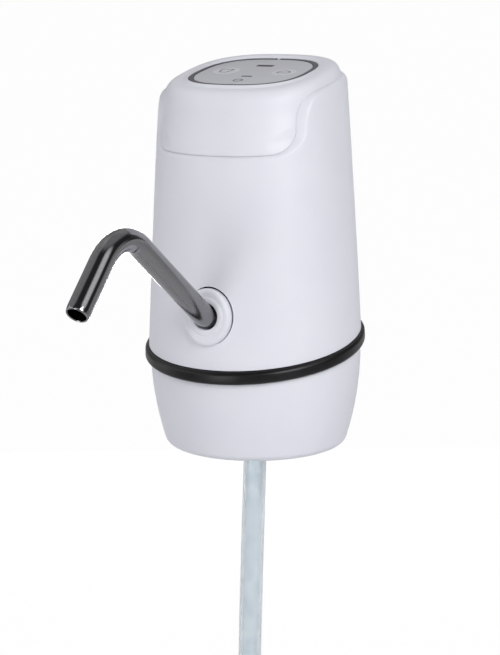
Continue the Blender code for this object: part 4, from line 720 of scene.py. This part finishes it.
def apronInsets(turns, levels):
    # The apron's face, which rounds down to its seam.
    distance, inside = apronDistance(turns, levels, apron["sideEdge"], apron["footEdge"])
    near = np.clip(1 - distance, 0, 1)
    return recessGrid(turns, levels) + apron["edgeDrop"] * (1 - np.sqrt(1 - near ** 2 * apron["edgeRound"]))


boss = {
    "level": 29.2, "halfWidth": 8.9, "halfHeight": 10.1, "lower": 0.4, "proud": 2.4, "sunk": 1.2,
    "shoulder": 1.3, "shoulderWidth": 1.2, "shoulderRise": 0.75, "steps": 8, "sides": 72,
    # the collar round the tube: the slope at its foot as (in, up), where its top starts, and its
    # inner edge as (radius beyond the bore, depth under the top)
    "slope": (0.3, 0.2), "topIn": 0.8,
    "faceWidth": 2.2, "bore": 4.7, "collar": ((0.45, 0), (0.12, 0.13), (0, 0.5)),
    "barrel": 6.6, "barrelLength": 3.0, "barrelGap": 0.3, "pocket": 3.4, "seam": 0.25, "lean": 0.36,
    "cutIn": 5, "cutOut": 2,
}
inlet = {"level": 70.0, "width": 9.6, "height": 3.8, "lead": 0.5, "depth": 6, "sides": 48, "power": 5.0}


def bossMatrix():
    # The spout's place on the front wall, its Z axis pointing out of the wall.
    z = boss["level"]
    lean = pi / 2 - atan((form["lowHalf"] - form["highHalf"]) / (form["highZ"] - form["lowZ"]))
    return Matrix.Translation(Vector((0, -casingHalf(z), z)) * mm) @ Matrix.Rotation(lean, 4, "X")


def ovalLoop(halfWidth, halfHeight, out, count=boss["sides"], power=2.0, centre=(0.0, 0.0)):
    loop = []
    for t in turnPoints(count):
        reach = (abs(cos(t)) ** power + abs(sin(t)) ** power) ** (1 / power)
        loop.append(Vector((centre[0] + halfWidth * cos(t) / reach,
                            centre[1] + halfHeight * sin(t) / reach, out)) * mm)
    return loop


def placedLoft(name, loops, place, material=None, closed=False):
    made = loftObject(name, loops, material, closed, cap=not closed)
    made.data.transform(place)
    return made


def makeBodyShell():
    turns, levels = casingTurns(), levelRows()
    loops = casingLoops(turns, zip(bodyInsets(turns, levels), levels))
    inner = [body["rim"], *body["innerRows"], body["low"]]
    loops += casingLoops(turns, [(body["innerWall"], level) for level in inner])
    made = loftObject("bodyShell", loops, finishes["white_abs"], closed=True)
    # The escutcheon hangs a little to one side of its pocket, so the gap is wider at its upper right.
    seam, lean, barrel = boss["seam"], boss["lean"], boss["barrel"] + boss["barrelGap"]
    pocket = placedLoft("pocket", [ovalLoop(boss["halfWidth"] + seam, boss["halfHeight"] + seam, out,
                                            centre=(lean, lean - boss["lower"]))
                                   for out in (-boss["pocket"], boss["proud"] + boss["cutOut"])],
                        bossMatrix())
    hole = placedLoft("hole", [ovalLoop(barrel, barrel, out) for out in (-boss["cutIn"], boss["cutOut"])],
                      bossMatrix())
    back = Matrix.Translation(Vector((0, casingHalf(inlet["level"]), inlet["level"])) * mm)
    back = back @ Matrix.Rotation(-pi / 2, 4, "X")
    half, low, lead = inlet["width"] / 2, inlet["height"] / 2, inlet["lead"]
    opening = placedLoft("opening", [ovalLoop(half + wider, low + wider, out, inlet["sides"], inlet["power"])
                                     for wider, out in ((0, -inlet["depth"]), (0, -lead), (2 * lead, lead))],
                         back)
    return booled(made, [apronPatch("apron opening", -body["seam"] / 2), pocket, hole, opening])


def makeTopCap():
    turns = casingTurns()
    crest, shoulder, edge = cap["crest"], cap["shoulder"], cap["edge"]
    low = apron["level"] - cap["belowApron"]
    pocket = casingHalf(panelTop) - cap["panelHalf"] - cap["gap"] - cap["trimWidth"] - cap["gap"]
    top, ledge = trimTop, panelFoot - cap["ledgeGap"]
    rows = [level for level in levelRows() if low < level < shoulder] + [shoulder]
    loops = casingLoops(turns, zip(apronInsets(turns, rows), rows))
    width, height = cap["crestInset"] - body["recess"], crest - shoulder
    curve = quarterCurve(width, height, cap["steps"], cap["shoulderPower"])[:-1]
    upper = [(body["recess"] + across, crest - down, float(smoothShare(crest - down, shoulder, crest)))
             for across, down in reversed(curve)]
    # From the crest the top falls a little to the panel's pocket, whose edge is round.
    count = cap["landSteps"]
    fall, width = (crest - top - edge * cap["landEnd"]) / count, pocket - edge - cap["crestInset"]
    upper += [(cap["crestInset"] + width * i / count, crest - fall * i, 1 - i / count)
              for i in range(1, count + 1)]
    for inset, level, share in upper:
        # The crest leans a little more than the panel: lower in front, higher behind.
        lean = cap["crestTilt"] * share
        points = [casingPoint(turn, level, inset) for turn in turns]
        loops.append([Vector((x, y, z + lean * y)) * mm for x, y, z in points])
    foot, back, face = ledge - cap["ledgeThickness"], pocket + cap["ledgeWidth"], body["recess"] + cap["wall"]
    profile = [(pocket - edge * cap["edgeIn"], top + edge * cap["edgeUp"]),
               (pocket, top - edge * cap["edgeDown"]), (pocket, ledge), (back, ledge), (back, foot),
               (cap["crestInset"], foot), (face, shoulder), (face, low)]
    loops += casingLoops(turns, profile)
    made = loftObject("topCap", loops, finishes["white_abs"], closed=True)
    # Beside and behind the apron, the cap's side is cut down to a tongue inside the body's rim.
    tongue, seat = body["innerWall"] + cap["tongueGap"], body["rim"] + body["seam"]
    inside, below = body["recess"] + 2 * cap["wall"], low - cap["cutBelow"]
    step = [(-cap["cut"], below), (-cap["cut"], seat), (tongue, seat), (tongue, seat - cap["tongueDepth"]),
            (inside, seat - cap["tongueDepth"]), (inside, below)]
    side = loftObject("cap side", casingLoops(turns[::2], step), None, closed=True)
    return booled(made, [booled(side, [apronPatch("apron", body["seam"] / 2)])])


dress(makeBodyShell(), "pump", "white_abs", "body_shell")
dress(makeTopCap(), "pump", "white_abs", "top_cap")
print("body shell and top cap: done")

# Rubber band round the foot of the casing

band = {"level": 11.55, "height": 4.6, "proud": 1.285, "depth": 3.2, "round": 1.4, "steps": 8, "sides": 240}


def makeRubberBand():
    corner = quarterCurve(band["round"], band["round"], band["steps"])
    low, top = band["level"], band["level"] + band["height"]
    profile = [(band["depth"], low), (band["round"], low)]
    profile += [(across - band["proud"], low + down) for across, down in corner]
    profile += [(across - band["proud"], top - down) for across, down in reversed(corner)]
    profile += [(band["round"], top), (band["depth"], top)]
    loops = casingLoops(turnPoints(band["sides"]), profile)
    return loftObject("rubberBand", loops, finishes["black_rubber"], closed=True)


dress(makeRubberBand(), "pump", "black_rubber", "rubber_band")

# Neck skirt with its ribs, over the bottle's neck

skirt = {
    "top": 11.25, "bottom": -24.0, "topRadius": 38.5, "footRadius": 33.1, "bulge": 2.0, "wall": 2.4,
    # the round of its upper edge, as (inset, drop), and of its foot; faces down the side
    "lip": ((0.5, 0), (0.15, 0.12), (0, 0.5)), "fillet": 2.6, "filletSteps": 8, "rows": 20, "columns": 216,
    "ledgeRadius": 28.65, "ledge": 2.4, "chamferWidth": 0.25, "chamferHeight": 0.3,
    "innerRows": (0.35, 0.7, 1.0),
    "ribs": 12, "ribThickness": 1.6, "ribRadius": 28.5, "ribTop": 0.6, "ribStep": 0.3, "ribFoot": (0.9, 3.0),
}


def skirtRadius(z):
    drop = max(0.0, band["level"] - z) / (band["level"] - skirt["bottom"] - skirt["fillet"] / 2)
    return skirt["topRadius"] - (skirt["topRadius"] - skirt["footRadius"]) * drop ** skirt["bulge"]


def skirtLoop(inset, z, level=False):
    # The skirt's upper edge slopes with the band, its foot is level.
    flat = skirt["bottom"] + skirt["fillet"]
    slope = 0.0 if level else form["drop"] * max(0.0, z - flat) / (skirt["top"] - flat)
    loop = []
    for t in turnPoints(skirt["columns"]):
        height = z
        for _ in range(4):
            reach = skirtRadius(height) - inset
            height = z + slope * reach * sin(t)
        loop.append(roundAt(reach, t, height))
    return loop


def makeNeckSkirt():
    top, bottom, fillet, wall = skirt["top"], skirt["bottom"], skirt["fillet"], skirt["wall"]
    radius, count, rows, steps = skirt["ledgeRadius"], skirt["columns"], skirt["rows"], skirt["filletSteps"]
    foot, side = bottom + fillet, top - skirt["lip"][-1][1]
    loops = [skirtLoop(inset, top - down) for inset, down in skirt["lip"]]
    loops += [skirtLoop(0, side + (foot - side) * i / rows) for i in range(1, rows + 1)]
    loops += [skirtLoop(inset, foot - down) for inset, down in arcPoints(fillet, fillet, steps)[1:]]
    loops += [roundLoop(radius + skirt["chamferWidth"], bottom, count),
              roundLoop(radius, bottom + skirt["chamferHeight"], count)]
    loops += [skirtLoop(wall, bottom * (1 - share), level=True) for share in skirt["innerRows"]]
    loops += [roundLoop(radius, 0, count), roundLoop(radius, skirt["ledge"], count),
              skirtLoop(wall, skirt["ledge"], level=True), skirtLoop(wall, top)]
    made = loftObject("neckSkirt", loops, finishes["white_abs"], closed=True)
    low, step, ribTop, inner = bottom + fillet / 2, skirt["ribStep"], skirt["ribTop"], skirt["ribRadius"]
    footIn, footUp = skirt["ribFoot"]
    outline = [(inner + footIn, low), (skirtRadius(low) - wall / 2, low), (skirtRadius(0) - wall / 2, ribTop),
               (radius + step, ribTop), (radius + step, -step), (inner, -step), (inner, low + footUp)]
    half = skirt["ribThickness"] / 2
    loops = [[Vector((r, y, z)) * mm for r, z in outline] for y in (-half, half)]
    rib = loftObject("ribs", loops, None, cap=True)
    return booled(made, [ringArray(rib, skirt["ribs"], finishes["white_abs"])], "UNION")


dress(makeNeckSkirt(), "pump", "white_abs", "neck_skirt")
print("rubber band and neck skirt: done")

# Spout: a bent stainless tube that turns in an oval escutcheon

spout = {
    "radius": 4.0, "wall": 0.6, "kneeOut": 2.4, "kneeRadius": 8.0, "rise": 70.5, "riseAngle": 34.6,
    "drop": 36.6, "dropAngle": 42.9, "bendRadius": 20.0, "endDepth": 12.5, "sides": 56, "steps": 28,
    "lip": 0.15, "nose": 2.2, "noseTaper": 0.07, "nosePower": 1.5, "noseSteps": 4,
    "smooth": radians(40),
}


def spoutPath():
    # From inside the socket, out through the wall, up, over the bend and down to the tip.
    place = bossMatrix()
    out = place.to_3x3() @ Vector((0, 0, 1))
    wall = place.translation
    knee = wall + out * spout["kneeOut"] * mm
    rise, drop = radians(spout["riseAngle"]), radians(spout["dropAngle"])
    bend = knee + spout["rise"] * mm * Vector((0, -cos(rise), sin(rise)))
    tip = bend + spout["drop"] * mm * Vector((0, -cos(drop), -sin(drop)))
    corners = [wall - out * spout["endDepth"] * mm, knee, bend, tip]
    path = bentPath(corners, [spout["kneeRadius"] * mm, spout["bendRadius"] * mm], spout["steps"])
    back = (bend - tip).normalized() * spout["nose"] * mm
    count = spout["noseSteps"]
    return path[:-1] + [tip + back * (1 - i / count) for i in range(count + 1)]


def resized(loop, centre, size, shift=Vector()):
    return [centre + (point - centre) * size + shift for point in loop]


def makeSpoutTube():
    path = spoutPath()
    radius, inner = spout["radius"], spout["radius"] - spout["wall"]
    lip, count = spout["lip"], spout["noseSteps"]
    outer = tubeLoops(path, radius * mm, spout["sides"])
    bore = tubeLoops(path, inner * mm, spout["sides"])
    for i in range(-count, 0):
        # The mouth is rolled in a little.
        size = 1 - spout["noseTaper"] * ((count + 1 + i) / count) ** spout["nosePower"]
        outer[i], bore[i] = resized(outer[i], path[i], size), resized(bore[i], path[i], size)
    ends = []
    for end, near in ((0, 1), (-1, -2)):
        # Both edges of each end are rounded off.
        centre, inward = path[end], (path[near] - path[end]).normalized() * lip * mm
        ends.append([resized(outer[end], centre, 1.0, inward), resized(outer[end], centre, 1 - lip / radius),
                     resized(bore[end], centre, 1 + lip / inner), resized(bore[end], centre, 1.0, inward)])
    first, last = ends
    loops = [first[1], first[0], *outer[1:-1], *last, *bore[1:-1][::-1], first[3], first[2]]
    return resmoothed(loftObject("spoutTube", loops, finishes["stainless"], closed=True), spout["smooth"])


def makeEscutcheon():
    wide, high, face, bore = boss["halfWidth"], boss["halfHeight"], boss["faceWidth"], boss["bore"]
    proud, sunk, shoulder, steps = boss["proud"], -boss["sunk"], boss["shoulder"], boss["steps"]
    centre, rise = (0.0, -boss["lower"]), boss["shoulderRise"] * boss["shoulder"]
    loops = [ovalLoop(wide, high, out, centre=centre) for out in (sunk, proud - shoulder)]
    loops += [ovalLoop(wide - inset, high - inset, proud - shoulder + up, centre=centre)
              for inset, up in arcPoints(shoulder * boss["shoulderWidth"], rise, steps)[1:]]
    flat, deep, barrel = proud - shoulder + rise, sunk - boss["barrelLength"], boss["barrel"]
    # A collar stands round the tube, and the barrel holds it behind the wall.
    across, up = boss["slope"]
    rings = [(bore + face, flat), (bore + face - across, flat + up), (bore + face - boss["topIn"], proud)]
    rings += [(bore + wider, proud - down) for wider, down in boss["collar"]]
    rings += [(bore, deep), (barrel, deep), (barrel, sunk)]
    loops += [ovalLoop(radius, radius, out) for radius, out in rings]
    return placedLoft("spoutEscutcheon", loops, bossMatrix(), finishes["white_abs"], closed=True)


dress(makeEscutcheon(), "pump", "white_abs", "spout_escutcheon")
dress(makeSpoutTube(), "spout", "stainless", "spout_tube")
print("spout: done")

# Touch panel, its trim ring and its window; the printed icons are thin ink on the film

panel = {
    "edge": 0.15, "edgeSteps": 4, "trimRound": 0.15, "softness": 0.3, "gap": 0.05, "sides": 160,
    "opening": 1.6, "openingY": (10, 40), "windowWidth": 6.6, "windowDepth": 2.6, "windowY": 9.5,
    "windowGap": 0.08, "cut": 1.0, "ink": 0.03, "inkSunk": 0.02, "iconLift": 0.02,
}


def panelInset(half):
    return casingHalf(panelTop) - half


def slopedBox(name, low, high, material=None):
    made = boxObject(name, low, high, material)
    made.data.transform(Matrix(((1, 0, 0, 0), (0, 1, 0, 0), (0, form["drop"], 1, 0), (0, 0, 0, 1))))
    return made


def windowBox(name, wider, over, material=None):
    half, deep = panel["windowWidth"] / 2 + wider, panel["windowDepth"] / 2 + wider
    return slopedBox(name, (-half, panel["windowY"] - deep, panelFoot - over),
                     (half, panel["windowY"] + deep, panelTop + over), material)


def makeTouchPanel():
    # A slab in the cap's slope with a rounded upper edge and an opening for the window.
    edge, steps, inset = panel["edge"], panel["edgeSteps"], panelInset(cap["panelHalf"] - panel["gap"])
    profile = [(inset, panelFoot), (inset, panelTop - edge)]
    profile += [(inset + across, panelTop - edge + up) for across, up in arcPoints(edge, edge, steps)[1:]]
    loops = casingLoops(turnPoints(panel["sides"]), profile)
    made = loftObject("touchPanel", loops, finishes["panel_film"], cap=True)
    return booled(made, [windowBox("window opening", panel["windowGap"], panel["cut"])])


def makePanelTrim():
    outer = panelInset(cap["panelHalf"] + cap["gap"] + cap["trimWidth"])
    inner = outer + cap["trimWidth"]
    low, top, edge, soft = panelFoot, trimTop, panel["trimRound"], panel["trimRound"] * panel["softness"]
    profile = [(outer, low), (outer, top - edge), (outer + soft, top - soft), (outer + edge, top),
               (inner - edge, top), (inner - soft, top - soft), (inner, top - edge), (inner, low)]
    loops = casingLoops(turnPoints(panel["sides"]), profile)
    made = loftObject("panelTrim", loops, finishes["grey_abs"], closed=True)
    half, (front, back) = panel["opening"] / 2, panel["openingY"]
    below, above = low - 2 * panel["cut"], top + 2 * panel["cut"]
    return booled(made, [slopedBox("opening", (-half, front, below), (half, back, above))])


def inkShape(name, outline, material, hole=None, lift=0.0):
    # Flat ink on the film from an outline of (x, y), or a band between two outlines.
    low, high = panelTop - panel["inkSunk"], panelTop + panel["ink"] + lift
    edges = [(outline, low), (outline, high)] + ([(hole, high), (hole, low)] if hole else [])
    loops = [[Vector((x, y, level + form["drop"] * y)) * mm for x, y in points] for points, level in edges]
    return loftObject(name, loops, material, closed=bool(hole), cap=not hole)


def discPoints(x, y, radius, count=48):
    return [(x + radius * cos(t), y + radius * sin(t)) for t in turnPoints(count)]


def bandPoints(points, width):
    # The two sides of a closed line of a given width.
    points, sides = [Vector(point) for point in points], []
    for before, point, after in zip(points[-1:] + points, points, points[1:] + points[:1]):
        step = after - before
        across = Vector((step.y, -step.x)).normalized() * width / 2
        sides.append((point + across, point - across))
    return zip(*sides)


icons = {
    "keys": ((-11.0, 0.0, 5.0), (12.0, 0.0, 4.6)), "line": 0.5, "cupSteps": 6,
    "cup": ((-13.6, 2.4), (-9.0, 2.4), (-9.4, -0.4), (-10.0, -2.4), (-12.6, -2.4), (-13.2, -0.4)),
    "dome": {"x": 12.0, "y": -1.3, "radius": 2.3, "foot": 0.9, "steps": 20},
    "dash": ((-1.0, -8.4), (3.0, -8.4), (3.0, -7.0), (-1.0, -7.0)),
    "ring": (0.6, -14.0, 1.6, 32),
}


def denser(points, steps):
    return [Vector(a).lerp(Vector(b), i / steps) for a, b in zip(points, points[1:] + points[:1])
            for i in range(steps)]


def joined(name, pieces):
    # One piece from several meshes.
    bm = bmesh.new()
    material = pieces[0].data.materials[0]
    for piece in pieces:
        bm.from_mesh(piece.data)
        bpy.data.objects.remove(piece)
    return meshObject(name, bm, material, recalc=False)


def makeIcons():
    pads = [inkShape("pad", discPoints(*key), finishes["key_ink"]) for key in icons["keys"]]
    dome = icons["dome"]
    x, y, radius, steps = dome["x"], dome["y"], dome["radius"], dome["steps"]
    arch = [(x + radius * cos(t), y + dome["foot"] + radius * sin(t))
            for t in (pi * i / steps for i in range(steps + 1))]
    arch += [(x - radius, y), (x + radius, y)]
    cup = denser(icons["cup"][::-1], icons["cupSteps"])
    outlines = [bandPoints(line, icons["line"]) for line in (cup, arch, discPoints(*icons["ring"]))]
    outlines.append((icons["dash"], None))
    marks = [inkShape("mark", outer, finishes["line_ink"], inner, panel["iconLift"])
             for outer, inner in outlines]
    return joined("keyPads", pads), joined("keyIcons", marks)


dress(makeTouchPanel(), "pump", "panel_film", "touch_panel")
dress(makePanelTrim(), "pump", "grey_abs", "panel_trim")
windowPiece = windowBox("displayWindow", 0.0, 0.0, finishes["smoked_window"])
dress(windowPiece, "pump", "smoked_window", "display_window")
for inked in makeIcons():
    dress(inked, "pump", "panel_film")
print("touch panel: done")

# Suction hose: clear silicone, hanging from the nipple in the bottle's neck

hose = {
    "route": (
        (0.0000, 0.0000, -0.0103), (-0.0001, 0.0000, -0.0200), (-0.0005, -0.0002, -0.0330),
        (-0.0010, -0.0004, -0.0480), (-0.0015, -0.0007, -0.0640), (-0.0020, -0.0010, -0.0820),
        (-0.0025, -0.0013, -0.1010), (-0.0029, -0.0015, -0.1210), (-0.0031, -0.0017, -0.1420),
        (-0.0032, -0.0018, -0.1640), (-0.0031, -0.0018, -0.1870), (-0.0029, -0.0018, -0.2100),
        (-0.0026, -0.0017, -0.2330), (-0.0023, -0.0016, -0.2560), (-0.0020, -0.0015, -0.2790),
        (-0.0018, -0.0014, -0.3010), (-0.0017, -0.0014, -0.3200), (-0.0017, -0.0014, -0.3350),
    ),
    "radius": 4.25 * mm,
    "bore": 2.9 * mm,
    "sides": 40,
    "stepsBetween": 6,
}

strainer = {
    "length": 24.0, "radius": 7.5, "wall": 1.4, "neckRadius": 5.65, "neckBore": 2.85, "neckHeight": 4.0,
    "slots": 6, "slotWidth": 2.4, "slotLength": 11.0, "slotMiddle": 9.6, "slotReach": (0.4, 1.4),
    "gap": 0.3, "round": 0.5, "steps": 6, "sides": 72, "axis": 0.01,
}


def smoothRoute(route, between):
    points = [Vector(place) for place in route]
    padded = [2 * points[0] - points[1], *points, 2 * points[-1] - points[-2]]
    fine = []
    for a, b, c, d in zip(padded, padded[1:], padded[2:], padded[3:]):
        for i in range(between):
            t = i / between
            fine.append(0.5 * (2 * b + (c - a) * t + (2 * a - 5 * b + 4 * c - d) * t * t
                               + (3 * b - a - 3 * c + d) * t ** 3))
    fine.append(points[-1])
    return fine


def makeHose():
    path = smoothRoute(hose["route"], hose["stepsBetween"])
    outer, inner = (tubeLoops(path, hose[size], hose["sides"]) for size in ("radius", "bore"))
    return loftObject("suctionHose", outer + inner[::-1], finishes["clear_silicone"], closed=True), path


def makeStrainer():
    # A cup with a neck, turned about its axis, with upright slots round it.
    radius, wall, r, neck = strainer["radius"], strainer["wall"], strainer["round"], strainer["neckRadius"]
    top, inner, axis, soft = -strainer["gap"], radius - wall, strainer["axis"], r * 0.3
    bottom, shoulder = top - strainer["length"], top - strainer["neckHeight"]
    profile = [(strainer["neckBore"], top), (strainer["neckBore"], shoulder - wall),
               (inner, shoulder - 2 * wall), (inner, bottom + wall), (axis, bottom + wall), (axis, bottom)]
    profile += [(inner + across, bottom + up) for up, across in arcPoints(wall, wall, strainer["steps"])]
    profile += [(radius, shoulder - wall - r), (radius - soft, shoulder - wall),
                (neck + r, shoulder - soft), (neck, shoulder + r), (neck, top - r), (neck - soft, top - soft),
                (neck - r, top)]
    made = loftObject("hoseStrainer", [roundLoop(reach, z, strainer["sides"]) for reach, z in profile],
                      finishes["black_nylon"], closed=True)
    side, half = strainer["slotWidth"] / 2, strainer["slotLength"] / 2
    middle = bottom + strainer["slotMiddle"]
    near, far = (radius * share for share in strainer["slotReach"])
    slot = boxObject("slots", (near, -side, middle - half), (far, side, middle + half))
    booled(made, [ringArray(slot, strainer["slots"], finishes["black_nylon"])])
    made.data.transform(Matrix.Translation(hose["route"][-1]))
    return made


hosePiece, hosePath = makeHose()
hoseLength = sum((b - a).length for a, b in zip(hosePath, hosePath[1:]))
strainerPiece = makeStrainer()
dress(hosePiece, "pump", "clear_silicone", "suction_hose")
dress(strainerPiece, "pump", "black_nylon", "hose_strainer")
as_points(hosePath)
print("suction hose and strainer: done")
